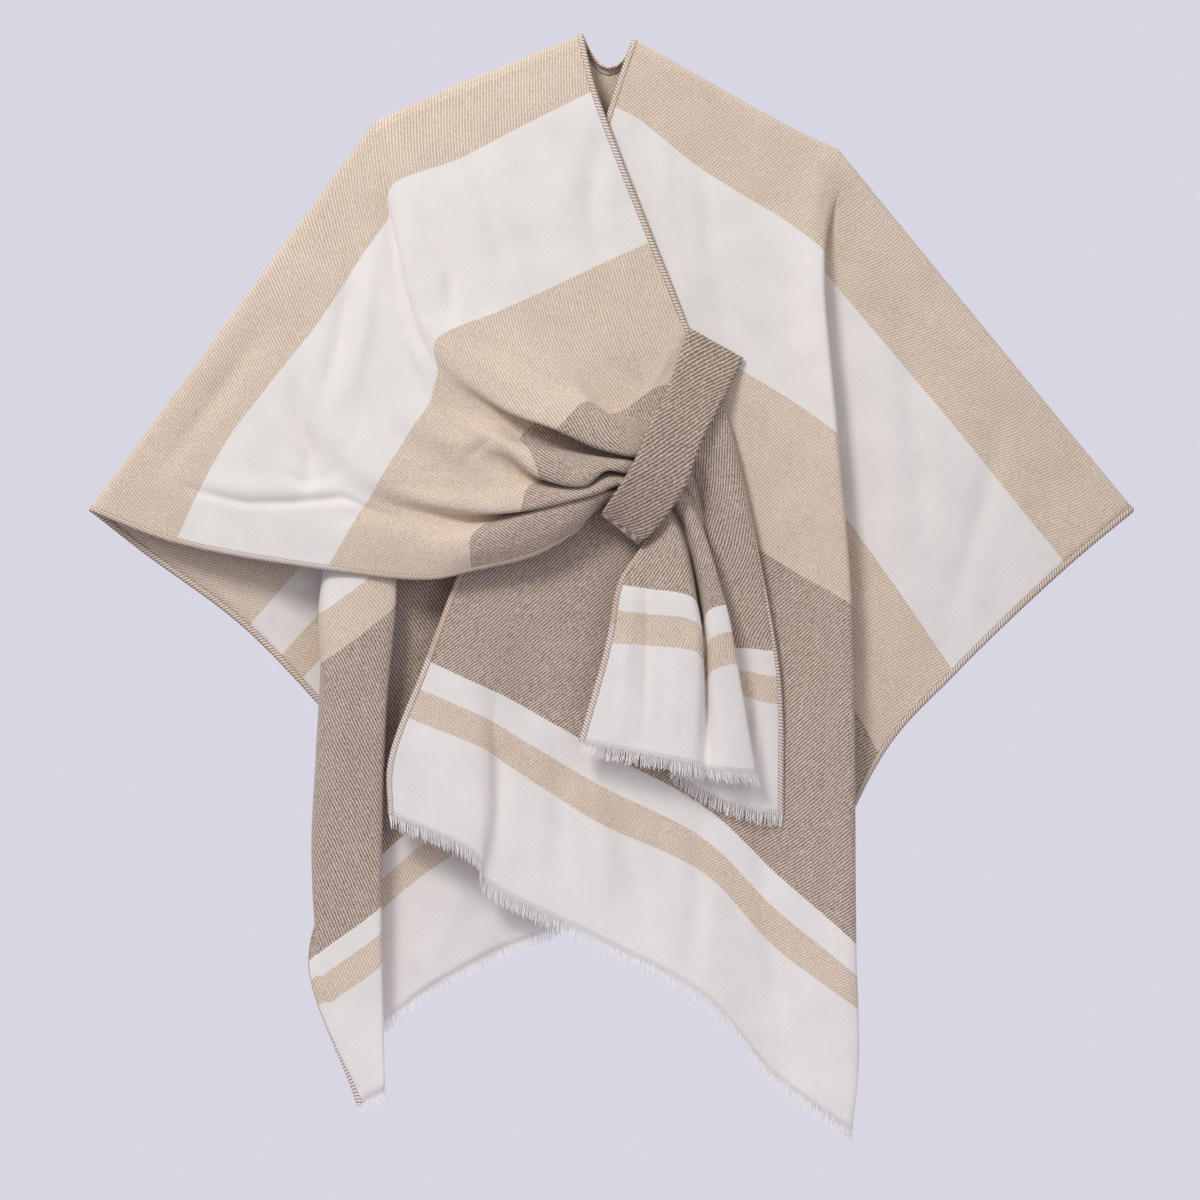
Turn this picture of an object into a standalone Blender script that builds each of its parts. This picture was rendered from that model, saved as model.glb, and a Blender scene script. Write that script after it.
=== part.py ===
"""A ruana: one striped twill cloth, slit up the front, hung by its shoulder line.

The right front crosses over the left one, is gathered through a keeper strap and falls below it as a
fanned tail. Metres, +Z up; the wearer's front faces -Y. The origin lies between the two neck points,
where the garment is held.

Each stretch of cloth is a smooth surface through its fold lines. A fold line runs from the shoulder to
the hem, and its table row says where it crosses each line across the cloth, such as the end of a stripe.
The roll over the shoulders and the side pleats are solids of their own, each a small gap away from the
flatter cloth beside it.
"""
import math
from collections import namedtuple

import bmesh
import bpy
from mathutils import Vector

# Driving dimensions, in metres
CLOTH_WALL = 0.0018          # thickness of the brushed twill
KEEPER_WALL = 0.0026         # the keeper is the same cloth, doubled
FRINGE_WALL = 0.0012
CREST_GAP = 0.0008           # between front and back on the crest, where their walls lean together
PARTING_GAP = 0.0008         # between two solids of one cloth, such as the drape and the tail
PLEAT_PARTING_GAP = 0.0014   # where the parting crosses a pleat's sharp folds
SHOULDER_ROLL = 0.007        # radius of the fold over the shoulders
ROLL_STEPS = 3
ROLL_SHARE = 0.16            # share of the first stretch that the roll takes
HEM_STEP = 0.2               # height of the last grid row, in steps of its stretch
FRINGE_GAP = 0.0009          # between a hem and the strip that holds its strands
FRINGE_LENGTH = 0.012
FRINGE_STRIP = 0.0025        # unravelled band that holds the strands
STRAND_PITCH = 0.0140
STRAND_TAPER = 0.45          # width of a strand's tip to that of its root

# Places are read off the hanging garment on a plan seen from the front: steps to the right and down,
# and then the depth behind the front of the shoulder line in millimetres, negative towards the viewer
PLAN_STEP = 0.000931         # metres to one step of the plan
DEPTH_STEP = 0.001
PLAN_ORIGIN = (608, 40, 7)   # the origin's place: between the neck points, in the middle of the crest

# name of the fold line, grid steps to the next one, and its places from the top down
Fold = namedtuple("Fold", "name steps places")

# Lines across the right front: shoulder, first stripe end, second stripe end, third stripe end, and the
# keeper's near edge
FRONT_RIGHT_ROWS = (6, 4, 5, 5)
PASS_ROWS = 4                # grid rows from the keeper's near edge to its far edge
FRONT_RIGHT = (
    Fold("centre_edge", 3, ((582, 35, 0), (595, 90, -7), (652, 240, -7), (682, 315, -7), (690, 336, -7))),
    Fold("smooth", 3, ((545, 50, 0), (555, 110, -8), (600, 264, -10), (652, 366, -13), (669, 386, -15))),
    Fold("notch", 2, ((508, 65, 0), (510, 133, -9), (545, 290, -13), (612, 414, -21), (655, 416, -26))),
    Fold("peak", 2, ((460, 84, 0), (460, 159, -10), (495, 313, -18), (586, 404, -32), (646, 437, -38))),
    Fold("lip", 2, ((375, 122, 0), (391, 188, -11), (436, 341, -24), (552, 430, -46), (636, 456, -46))),
    Fold("cavity", 2, ((362, 140, 0), (389, 216, -8), (441, 383, -16), (521, 440, -28), (634, 461, -28))),
    Fold("second_top", 2, ((348, 159, 0), (375, 238, -8), (430, 400, -18), (531, 453, -38), (632, 466, -41))),
    Fold("second_lip", 2, ((330, 183, 0), (358, 262, -8), (414, 425, -19), (542, 480, -38), (628, 474, -42))),
    Fold("hole", 2, ((310, 210, 0), (340, 290, -7), (403, 442, -16), (536, 484, -27), (626, 478, -26))),
    Fold("third_top", 2, ((285, 244, 0), (313, 330, -7), (392, 459, -17), (537, 491, -34), (624, 482, -39))),
    Fold("third_lip", 2, ((255, 285, 0), (283, 367, -6), (379, 480, -18), (522, 508, -37), (620, 487, -40))),
    Fold("crease", 2, ((225, 326, 0), (254, 404, -5), (369, 497, -14), (505, 519, -25), (618, 491, -26))),
    Fold("fourth_top", 2, ((190, 374, 0), (231, 434, -5), (360, 511, -16), (496, 528, -32), (615, 495, -37))),
    Fold("fourth_face", 2, ((140, 442, 0), (201, 487, -4), (343, 540, -16), (473, 547, -33), (611, 500, -32))),
    Fold("side_edge", 0, ((90, 510, 0), (175, 542, -3), (326, 569, -13), (472, 571, -24), (607, 504, -21))),
)

# Lines across the tail: the keeper's far edge, end of the taupe, end of the narrow beige, hem
TAIL_ROWS = (5, 3, 4)
TAIL = (
    Fold("centre_edge", 3, ((722, 405, -9), (775, 647, -12), (781, 704, -12), (782, 812, -11))),
    Fold("smooth", 3, ((716, 418, -14), (766, 647, -15), (772, 703, -15), (765, 811, -13))),
    Fold("notch", 2, ((709, 432, -18), (757, 646, -16), (762, 701, -16), (745, 806, -14))),
    Fold("peak", 2, ((703, 446, -21), (748, 645, -14), (752, 698, -13), (727, 800, -12))),
    Fold("lip", 2, ((698, 458, -23), (738, 645, -13), (741, 695, -12), (708, 791, -11))),
    Fold("cavity", 2, ((694, 468, -18), (722, 643, -12), (722, 692, -11), (690, 780, -10))),
    Fold("second_top", 2, ((691, 477, -15), (702, 640, -12), (697, 688, -11), (673, 766, -10))),
    Fold("second_lip", 2, ((687, 486, -21), (702, 636, -20), (697, 684, -19), (674, 764, -18))),
    Fold("hole", 2, ((684, 492, -20), (720, 608, -23), (731, 668, -22), (750, 774, -21))),
    Fold("third_top", 2, ((680, 498, -31), (723, 602, -34), (735, 663, -33), (754, 772, -31))),
    Fold("third_lip", 2, ((676, 503, -31), (708, 609, -35), (714, 669, -35), (722, 768, -37))),
    Fold("crease", 2, ((672, 509, -23), (702, 621, -25), (704, 678, -28), (706, 766, -32))),
    Fold("fourth_top", 2, ((666, 516, -31), (691, 595, -38), (697, 653, -37), (692, 762, -36))),
    Fold("fourth_face", 2, ((656, 524, -26), (646, 586, -29), (647, 645, -29), (640, 752, -30))),
    Fold("side_edge", 0, ((645, 533, -16), (619, 582, -25), (607, 643, -26), (580, 740, -26))),
)

# Lines across the left front: shoulder, first, second and third stripe end, end of the taupe, low, hem
FRONT_LEFT_ROWS = (6, 4, 4, 6, 3, 2)
FRONT_LEFT_PARTINGS = (("hip_back", 0), ("inner_back", 2))
FRONT_LEFT_LOW_ROW = 14      # below this grid row the outer side is too narrow for a solid of its own
FRONT_LEFT = (
    Fold("centre_edge", 3, ((633, 40, 0), (611, 105, -2), (568, 251, -2), (521, 402, -2),
                            (428, 657, -8), (390, 762, -13), (390, 812, -14))),
    Fold("small_pleat", 1, ((655, 52, 0), (638, 118, -2), (606, 277, -2), (571, 434, -2),
                            (490, 686, -6), (486, 800, -14), (479, 855, -16))),
    Fold("under_pleat", 3, ((662, 56, 0), (647, 125, -2), (618, 285, -2), (583, 441, -2),
                            (500, 690, -4), (497, 812, -6), (486, 879, -7))),
    Fold("middle", 3, ((700, 77, 0), (690, 160, -2), (668, 319, -2), (650, 482, -2),
                       (600, 746, -2), (597, 880, -5), (600, 937, -7))),
    Fold("hip", 3, ((745, 103, 0), (735, 190, -3), (741, 368, -2), (735, 534, -2),
                    (706, 804, -4), (704, 928, -10), (707, 995, -12))),
    Fold("hip_back", 3, ((795, 130, 0), (785, 220, -5), (793, 400, -5), (795, 572, -6),
                         (775, 868, -8), (775, 1008, -6), (775, 1073, -4))),
    Fold("ridge", 2, ((838, 150, 0), (822, 250, -13), (834, 431, -20), (848, 603, -22),
                      (853, 938, -22), (856, 1060, -20), (850, 1125, -18))),
    Fold("ridge_back", 3, ((846, 160, 0), (823, 254, -7), (835, 435, -11), (848, 607, -12),
                           (852, 942, -12), (854, 1060, -10), (848, 1121, -9))),
    Fold("inner", 2, ((853, 168, 0), (813, 256, -3), (803, 452, -4), (810, 628, -4),
                      (813, 956, -5), (832, 1052, -4), (832, 1108, -4))),
    Fold("inner_back", 4, ((860, 177, 0), (815, 259, 1), (805, 457, 3), (811, 634, 3),
                           (808, 960, -1), (824, 1048, -2), (824, 1102, -2))),
    Fold("wing", 4, ((990, 336, 0), (948, 418, -3), (899, 590, -2), (862, 722, 0),
                     (803, 966, 1), (810, 1044, 0), (812, 1092, 0))),
    Fold("side_edge", 0, ((1133, 510, 0), (1067, 565, -2), (955, 672, 0), (880, 757, 2),
                          (798, 968, 2), (798, 1040, 2), (800, 1082, 2))),
)

# Lines across the back: shoulder, yoke, end of the broad beige, end of the white, end of the narrow
# beige, where the side edge turns behind, lower down it, end of the taupe, hem
BACK_ROWS = (5, 3, 2, 1, 2, 2, 2, 4)
BACK_PARTINGS = (("right_side_edge", 3), ("right_tuck_back", 1), ("left_middle", 2), ("left_deep", 1))
BACK_LOW_ROW = 12
BACK = (
    Fold("right_side_edge", 4, ((90, 510, 14), (139, 549, 21), (242, 626, 29), (338, 727, 36), (375, 768, 38),
                                (398, 818, 41), (338, 880, 33), (309, 959, 0), (359, 1104, -3))),
    Fold("right_deep", 1, ((339, 171, 14), (364, 253, 28), (400, 440, 34), (412, 640, 41), (424, 705, 41),
                           (431, 806, 38), (361, 887, 28), (313, 956, -1), (362, 1102, -3))),
    Fold("right_deep_turn", 3, ((348, 159, 14), (367, 243, 23), (400, 433, 29), (412, 631, 32),
                                (424, 696, 32), (428, 797, 33), (356, 883, 26), (316, 953, -2),
                                (365, 1100, -4))),
    Fold("right_fold_back", 2, ((357, 146, 14), (360, 231, 19), (352, 402, 24), (324, 601, 26),
                                (326, 655, 26), (321, 752, 25), (316, 850, 20), (319, 951, -3),
                                (368, 1098, -4))),
    Fold("right_fold", 3, ((366, 134, 14), (361, 222, 9), (352, 408, 8), (323, 608, -2), (325, 661, -4),
                           (320, 757, -4), (315, 856, -4), (322, 948, -4), (371, 1096, -5))),
    Fold("right_ridge", 2, ((375, 122, 14), (377, 209, 6), (387, 373, 4), (394, 552, -6), (395, 606, -8),
                            (386, 702, -8), (382, 806, -8), (380, 904, -8), (384, 1089, -7))),
    Fold("right_ridge_back", 2, ((384, 118, 14), (381, 203, 10), (386, 368, 10), (393, 547, 2), (394, 601, 1),
                                 (385, 696, 1), (381, 800, 1), (379, 898, 1), (383, 1080, 1))),
    Fold("right_tuck", 1, ((394, 114, 14), (384, 197, 12), (366, 358, 12), (358, 531, 8), (357, 582, 7),
                           (354, 672, 7), (354, 782, 7), (356, 884, 7), (364, 1048, 6))),
    Fold("right_tuck_back", 2, ((404, 110, 14), (388, 192, 15), (367, 353, 17), (359, 525, 15),
                                (358, 576, 15), (355, 666, 15), (355, 776, 15), (357, 879, 15),
                                (365, 1042, 14))),
    Fold("right_inner", 3, ((435, 96, 14), (424, 174, 17), (420, 325, 19), (425, 485, 19), (425, 535, 19),
                            (418, 622, 19), (408, 733, 19), (405, 832, 19), (408, 1003, 17))),
    Fold("right_middle", 3, ((490, 72, 14), (493, 142, 19), (500, 283, 21), (500, 430, 23), (500, 485, 23),
                             (490, 580, 23), (478, 690, 23), (465, 790, 22), (480, 960, 20))),
    Fold("right_neck", 1, ((582, 35, 14), (579, 104, 18), (572, 249, 22), (570, 388, 25), (572, 440, 25),
                           (573, 530, 25), (570, 640, 24), (562, 742, 22), (570, 921, 21))),
    Fold("right_neck_turn", 1, ((594, 57, 14), (593, 111, 18), (590, 242, 22), (589, 380, 26), (590, 433, 26),
                                (592, 521, 26), (594, 626, 25), (591, 728, 24), (598, 907, 22))),
    Fold("neck", 1, ((608, 68, 14), (608, 118, 18), (608, 236, 22), (608, 372, 26), (608, 426, 26),
                     (612, 512, 26), (618, 612, 25), (622, 714, 24), (626, 893, 23))),
    Fold("left_neck_turn", 1, ((623, 62, 14), (622, 113, 18), (626, 243, 22), (628, 379, 26), (629, 433, 26),
                               (633, 519, 26), (641, 618, 26), (647, 721, 25), (653, 898, 24))),
    Fold("left_neck", 3, ((633, 40, 14), (637, 107, 18), (645, 250, 22), (648, 386, 26), (650, 440, 26),
                          (655, 525, 26), (664, 624, 26), (672, 728, 26), (680, 903, 25))),
    Fold("left_middle", 3, ((735, 95, 14), (731, 161, 19), (722, 292, 23), (728, 430, 27), (730, 482, 27),
                            (738, 572, 27), (750, 680, 27), (760, 790, 27), (765, 960, 25))),
    Fold("left_tuck_back", 1, ((816, 138, 14), (829, 209, 18), (851, 353, 23), (858, 521, 28), (858, 572, 28),
                               (848, 664, 28), (824, 772, 28), (808, 872, 27), (808, 1008, 25))),
    Fold("left_tuck", 2, ((824, 143, 14), (833, 215, 15), (852, 358, 18), (859, 527, 21), (859, 578, 21),
                          (849, 670, 21), (825, 778, 21), (809, 878, 20), (809, 1014, 18))),
    Fold("left_ridge_back", 2, ((832, 147, 14), (832, 221, 12), (828, 368, 15), (822, 547, 16),
                                (820, 601, 16), (812, 696, 16), (795, 795, 16), (783, 884, 15),
                                (789, 1035, 15))),
    Fold("left_ridge", 3, ((840, 153, 14), (836, 227, 9), (827, 373, 11), (821, 552, 11), (819, 606, 11),
                           (811, 702, 10), (794, 801, 10), (782, 890, 10), (787, 1045, 8))),
    Fold("left_fold", 2, ((848, 163, 14), (853, 240, 12), (864, 408, 15), (872, 608, 15), (867, 661, 15),
                          (848, 757, 15), (840, 850, 14), (832, 925, 13), (824, 1062, 10))),
    Fold("left_fold_back", 3, ((856, 172, 14), (854, 250, 22), (864, 402, 31), (871, 601, 38), (866, 655, 39),
                               (847, 752, 38), (841, 845, 33), (837, 930, 16), (827, 1065, 13))),
    Fold("left_deep_turn", 1, ((865, 183, 14), (848, 262, 26), (818, 433, 37), (806, 631, 45), (792, 696, 46),
                               (790, 797, 45), (829, 872, 37), (840, 936, 18), (829, 1068, 14))),
    Fold("left_deep", 4, ((875, 195, 14), (852, 271, 32), (818, 440, 43), (806, 640, 52), (792, 705, 54),
                          (786, 806, 50), (824, 877, 39), (843, 941, 19), (831, 1071, 15))),
    Fold("left_side_edge", 0, ((1133, 510, 14), (1082, 549, 22), (974, 626, 33), (878, 727, 45),
                               (841, 768, 50), (818, 818, 53), (846, 872, 43), (846, 946, 20),
                               (833, 1074, 16))),
)

# The keeper from its upper seam over the gathers to its lower one: its left and its right edge
KEEPER_ROWS = (1, 1, 1, 2, 2, 1, 1, 1, 1, 1)
KEEPER = (
    Fold("left_edge", 3, ((691, 330, -11), (685, 341, -13), (676, 366, -20), (667, 391, -28),
                          (651, 423, -45), (635, 461, -55), (620, 487, -53), (607, 506, -43),
                          (602, 513, -30), (603, 514, -14), (608, 509, -5))),
    Fold("right_edge", 0, ((743, 359, -5), (737, 371, -7), (728, 390, -12), (719, 407, -18),
                           (699, 448, -33), (685, 486, -42), (671, 509, -40), (651, 534, -32),
                           (639, 543, -24), (640, 544, -12), (645, 539, -5))),
)

BEIGE = (0.68, 0.55, 0.38)
TAUPE = (0.35, 0.26, 0.20)
CREAM = (0.80, 0.77, 0.75)
ROUGHNESS = 0.9


def place(plan_place):
    """The point in metres of one (right, down, depth) place on the plan."""
    right, down, depth = (at - origin for at, origin in zip(plan_place, PLAN_ORIGIN))
    return Vector((right * PLAN_STEP, depth * DEPTH_STEP, -down * PLAN_STEP))


def curve_point(before, start, end, after, share):
    """A point on a centripetal curve from start to end, led by the neighbours on both sides."""
    knots = [0.0]
    for near, far in ((before, start), (start, end), (end, after)):
        knots.append(knots[-1] + max(math.sqrt((far - near).length), 1e-3))
    at = knots[1] + share * (knots[2] - knots[1])

    def blend(point_a, point_b, knot_a, knot_b):
        return point_a * ((knot_b - at) / (knot_b - knot_a)) + point_b * ((at - knot_a) / (knot_b - knot_a))

    first = blend(before, start, knots[0], knots[1])
    second = blend(start, end, knots[1], knots[2])
    third = blend(end, after, knots[2], knots[3])
    return blend(blend(first, second, knots[0], knots[2]), blend(second, third, knots[1], knots[3]),
                 knots[1], knots[2])


def curve_through(points, shares_per_stretch):
    """Samples of the smooth curve through the points, one list of shares for each stretch."""
    led = [points[0] * 2 - points[1]] + list(points) + [points[-1] * 2 - points[-2]]
    samples = []
    for stretch, shares in enumerate(shares_per_stretch):
        samples += [curve_point(*led[stretch:stretch + 4], share) for share in shares]
    samples.append(points[-1])
    return samples


def straight_through(points, shares_per_stretch):
    """Samples of the straight lines between the points."""
    samples = [start.lerp(end, share)
               for start, end, shares in zip(points, points[1:], shares_per_stretch) for share in shares]
    return samples + [points[-1]]


def even_shares(step_counts):
    """Equal shares of each stretch."""
    return [[step / count for step in range(count)] for count in step_counts]


def cloth_shares(step_counts):
    """Equal shares, save for the roll's steps in the first stretch and a low last row along the hem."""
    shares = even_shares(step_counts)
    shares[-1] = [step / (step_counts[-1] - 1 + HEM_STEP) for step in range(step_counts[-1])]
    rest = step_counts[0] - ROLL_STEPS
    below = [ROLL_SHARE + (1 - ROLL_SHARE) * step / rest for step in range(rest)]
    shares[0] = [ROLL_SHARE * step / ROLL_STEPS for step in range(ROLL_STEPS)] + below
    return shares


def cloth_rows(folds, row_shares):
    """Rows of points over a stretch of cloth: smooth across its fold lines, then smooth down them.

    The topmost line, such as a shoulder, runs straight from fold to fold.
    """
    across = even_shares([fold.steps for fold in folds[:-1]])
    marked = [[place(fold.places[line]) for fold in folds] for line in range(len(folds[0].places))]
    lines = [straight_through(marked[0], across)] + [curve_through(line, across) for line in marked[1:]]
    columns = [curve_through(list(column), row_shares) for column in zip(*lines)]
    return [list(row) for row in zip(*columns)]


def roll_over_shoulder(rows, row_shares, side):
    """Bends the first rows over the crest, where front and back meet: side is +1 in front, -1 behind."""
    radius = SHOULDER_ROLL - CREST_GAP / 2
    fall = [(low - high).normalized() for high, low in zip(rows[0], rows[ROLL_STEPS])]
    spare = radius * (math.pi / 2 - 1)
    crest = [point.copy() for point in rows[0]]
    for row, share in zip(rows, row_shares[0]):
        turn = min(1.0, share / ROLL_SHARE) * math.pi / 2
        for column, point in enumerate(row):
            if turn < math.pi / 2:
                point.xz = (crest[column] + fall[column] * radius * (1 - math.cos(turn))).xz
                point.y = crest[column].y + side * radius * (1 - math.sin(turn))
            else:
                point.xz = (point - fall[column] * spare * (1 - share) / (1 - ROLL_SHARE)).xz


def part_rows(rows, seam_row, gap=PARTING_GAP):
    """Two stretches of one cloth, parted by a small gap at a row."""
    above = [list(row) for row in rows[:seam_row + 1]]
    below = [list(row) for row in rows[seam_row:]]
    for column, seam in enumerate(rows[seam_row]):
        run = (rows[seam_row + 1][column] - rows[seam_row - 1][column]).normalized()
        above[-1][column] = seam - run * gap / 2
        below[0][column] = seam + run * gap / 2
    return above, below


def part_columns(rows, seam_column):
    """Two stretches of one cloth, parted by a small gap at a column."""
    sides = part_rows([list(column) for column in zip(*rows)], seam_column)
    return [[list(row) for row in zip(*side)] for side in sides]


def parting_columns(folds, partings):
    """The grid columns of the partings, each of them a fold's name and grid steps past that fold."""
    names = [fold.name for fold in folds]
    return [sum(fold.steps for fold in folds[:names.index(name)]) + steps_past for name, steps_past in partings]


def add_cloth(name, rows, collection, colour):
    add_piece(name, surface_from_rows(rows), CLOTH_WALL, collection, colour)


def add_hung_cloth(name, rows, shoulder_rows, collection, colour):
    """A stretch that is parted from its roll over the shoulder."""
    shoulder, hanging = part_rows(rows, shoulder_rows)
    add_cloth(name + "_shoulder", shoulder, collection, BEIGE)
    add_cloth(name, hanging, collection, colour)


def add_fringe(name, hem, row_above, collection):
    add_piece(name, fringe_comb(hem, row_above), FRINGE_WALL, collection, CREAM)


def surface_from_rows(rows, left_out=None):
    """A grid whose corners are moved to the rows of points, without the cells that are left out."""
    row_steps = len(rows) - 1
    column_steps = len(rows[0]) - 1
    bm = bmesh.new()
    bmesh.ops.create_grid(bm, x_segments=column_steps, y_segments=row_steps, size=0.5)
    if left_out:
        cells = [(face, face.calc_center_median()) for face in bm.faces]
        gaps = [face for face, middle in cells
                if left_out(int((middle.y + 0.5) * row_steps), int((middle.x + 0.5) * column_steps))]
        bmesh.ops.delete(bm, geom=gaps, context="FACES")
    for corner in bm.verts:
        column = round((corner.co.x + 0.5) * column_steps)
        row = round((corner.co.y + 0.5) * row_steps)
        corner.co = rows[row][column]
    return bm


def add_piece(name, bm, wall, collection, colour):
    """Turns an open surface into a named piece with a wall centred on it."""
    mesh = bpy.data.meshes.new(name)
    bm.to_mesh(mesh)
    bm.free()
    mesh.shade_smooth()
    piece = bpy.data.objects.new(name, mesh)
    collection.objects.link(piece)
    thickness = piece.modifiers.new("wall", "SOLIDIFY")
    thickness.thickness = wall
    thickness.offset = 0.0
    thickness.use_quality_normals = True
    material = bpy.data.materials.new(name + "_twill")
    material.use_nodes = True
    shader = material.node_tree.nodes["Principled BSDF"]
    shader.inputs["Base Color"].default_value = (*colour, 1.0)
    shader.inputs["Roughness"].default_value = ROUGHNESS
    mesh.materials.append(material)


def fringe_comb(hem, row_above):
    """A strip just below a hem, with tapered strands under every other cell of it."""
    roots, strip_end, tips = [], [], []
    downs = [(edge - above).normalized() for edge, above in zip(hem, row_above)]

    def add_corner(start, down, length):
        roots.append(start + down * FRINGE_GAP)
        strip_end.append(start + down * (FRINGE_GAP + FRINGE_STRIP))
        tips.append(start + down * length)

    for left in range(len(hem) - 1):
        cells = 2 * max(1, round((hem[left + 1] - hem[left]).length / STRAND_PITCH))
        for cell in range(cells):
            share = cell / cells
            strand = len(roots) // 2
            unevenness = 0.14 * math.sin(2.3 * strand) + 0.08 * math.sin(5.1 * strand)
            add_corner(hem[left].lerp(hem[left + 1], share), downs[left].lerp(downs[left + 1], share),
                       FRINGE_LENGTH * (1 + unevenness))
    add_corner(hem[-1], downs[-1], FRINGE_LENGTH)
    for left in range(0, len(tips) - 1, 2):
        middle = tips[left].lerp(tips[left + 1], 0.5)
        tips[left] = middle.lerp(tips[left], STRAND_TAPER)
        tips[left + 1] = middle.lerp(tips[left + 1], STRAND_TAPER)
    return surface_from_rows([roots, strip_end, tips], lambda row, column: row == 1 and column % 2 == 1)


def build_front_right(collection):
    folds = [Fold(above.name, above.steps, above.places + below.places)
             for above, below in zip(FRONT_RIGHT, TAIL)]
    row_counts = FRONT_RIGHT_ROWS + (PASS_ROWS,) + TAIL_ROWS
    shares = cloth_shares(row_counts)
    rows = cloth_rows(folds, shares)
    roll_over_shoulder(rows, shares, 1)
    drape, tail = part_rows(rows, sum(FRONT_RIGHT_ROWS) + PASS_ROWS // 2)
    add_hung_cloth("front_right", drape, FRONT_RIGHT_ROWS[0], collection, CREAM)
    add_cloth("front_right_tail", tail, collection, TAUPE)
    add_fringe("fringe_tail", tail[-1], tail[-2], collection)


def build_front_left(collection):
    shares = cloth_shares(FRONT_LEFT_ROWS)
    rows = cloth_rows(FRONT_LEFT, shares)
    roll_over_shoulder(rows, shares, 1)
    pleat_column, wing_column = parting_columns(FRONT_LEFT, FRONT_LEFT_PARTINGS)
    panel, side = part_columns(rows, pleat_column)
    side, side_low = part_rows(side, FRONT_LEFT_LOW_ROW, PLEAT_PARTING_GAP)
    pleat, wing = part_columns(side, wing_column - pleat_column)
    add_hung_cloth("front_left", panel, FRONT_LEFT_ROWS[0], collection, CREAM)
    add_cloth("front_left_pleat", pleat, collection, BEIGE)
    add_hung_cloth("front_left_wing", wing, FRONT_LEFT_ROWS[0], collection, CREAM)
    add_cloth("front_left_low", side_low, collection, TAUPE)
    add_fringe("fringe_front_left", rows[-1], rows[-2], collection)


def build_back(collection):
    shares = cloth_shares(BACK_ROWS)
    rows = cloth_rows(BACK, shares)
    roll_over_shoulder(rows, shares, -1)
    right_wing_column, right_column, left_column, left_wing_column = parting_columns(BACK, BACK_PARTINGS)
    rest, left = part_columns(rows, left_column)
    right, centre = part_columns(rest, right_column)
    left, left_low = part_rows(left, BACK_LOW_ROW, PLEAT_PARTING_GAP)
    right, right_low = part_rows(right, BACK_LOW_ROW, PLEAT_PARTING_GAP)
    right_wing, right_pleat = part_columns(right, right_wing_column)
    left_pleat, left_wing = part_columns(left, left_wing_column - left_column)
    add_hung_cloth("back_centre", centre, BACK_ROWS[0], collection, CREAM)
    for side, wing, pleat, low in (("right", right_wing, right_pleat, right_low),
                                   ("left", left_wing, left_pleat, left_low)):
        add_hung_cloth("back_" + side + "_wing", wing, BACK_ROWS[0], collection, CREAM)
        add_cloth("back_" + side + "_pleat", pleat, collection, BEIGE)
        add_cloth("back_" + side + "_low", low, collection, TAUPE)
    add_fringe("fringe_back", rows[-1], rows[-2], collection)


def build_keeper(collection):
    rows = cloth_rows(KEEPER, even_shares(KEEPER_ROWS))
    add_piece("keeper", surface_from_rows(rows), KEEPER_WALL, collection, TAUPE)


def main():
    for old in list(bpy.data.objects):
        bpy.data.objects.remove(old, do_unlink=True)
    ruana = bpy.data.collections.new("ruana")
    bpy.context.scene.collection.children.link(ruana)
    build_back(ruana)
    build_front_left(ruana)
    build_front_right(ruana)
    build_keeper(ruana)


main()
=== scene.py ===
import math
import random
from collections import namedtuple

import bmesh
import bpy
import numpy
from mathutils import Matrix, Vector, noise


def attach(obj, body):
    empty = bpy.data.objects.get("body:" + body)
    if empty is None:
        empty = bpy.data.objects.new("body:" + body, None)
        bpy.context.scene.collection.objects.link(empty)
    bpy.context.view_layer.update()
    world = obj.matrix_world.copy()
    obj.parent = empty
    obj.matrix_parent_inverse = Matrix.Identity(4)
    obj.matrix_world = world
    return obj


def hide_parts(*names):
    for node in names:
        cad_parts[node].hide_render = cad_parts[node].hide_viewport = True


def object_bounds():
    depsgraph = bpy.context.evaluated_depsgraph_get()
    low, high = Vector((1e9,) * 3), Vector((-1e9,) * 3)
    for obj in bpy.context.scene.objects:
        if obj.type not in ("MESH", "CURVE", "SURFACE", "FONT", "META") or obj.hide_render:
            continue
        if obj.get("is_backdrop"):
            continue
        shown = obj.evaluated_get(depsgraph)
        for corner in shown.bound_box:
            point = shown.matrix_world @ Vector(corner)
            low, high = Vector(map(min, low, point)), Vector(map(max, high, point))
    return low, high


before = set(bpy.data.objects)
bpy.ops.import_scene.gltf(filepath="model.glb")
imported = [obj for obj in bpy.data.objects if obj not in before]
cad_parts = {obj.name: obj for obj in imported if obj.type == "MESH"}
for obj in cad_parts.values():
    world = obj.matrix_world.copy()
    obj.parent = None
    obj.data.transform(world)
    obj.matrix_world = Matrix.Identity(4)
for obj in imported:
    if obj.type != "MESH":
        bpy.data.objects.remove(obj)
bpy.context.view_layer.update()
print("packed model loaded:", len(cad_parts), "nodes")

millimetre = 0.001

# the plan: places are read off the hanging cloth, seen from the front
plan = {
    "step": 0.000931,          # metres to one step to the right or down
    "depthStep": 0.001,        # metres to one step of depth, positive away from the viewer
    "origin": (608, 40, 7),    # between the neck points, in the middle of the crest
}

cloth = {
    "thickness": 0.0015,
    "fineness": 5,             # grid steps for each step of a fold table
    "rollRadius": 0.0066,      # of the fold over the shoulders
    "rollSteps": 3,
    "rollShare": 0.16,         # share of the first stretch that the roll takes
    "halfWidth": 0.650,        # cut width of one front
    "length": 0.761,           # cut length from shoulder to hem
    # slow unevenness of the hanging cloth and small unevenness of its brushed face: how deep, and how quickly
    # it changes across and down
    "sway": (0.0011, 11, 7),
    "ripple": (0.00035, 45, 38),
    "rippleSeed": 4,           # sets the ripple apart from the sway
}

# one fold line from the top down: its name, steps to the next one, and its places
Fold = namedtuple("Fold", "name steps places")
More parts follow.
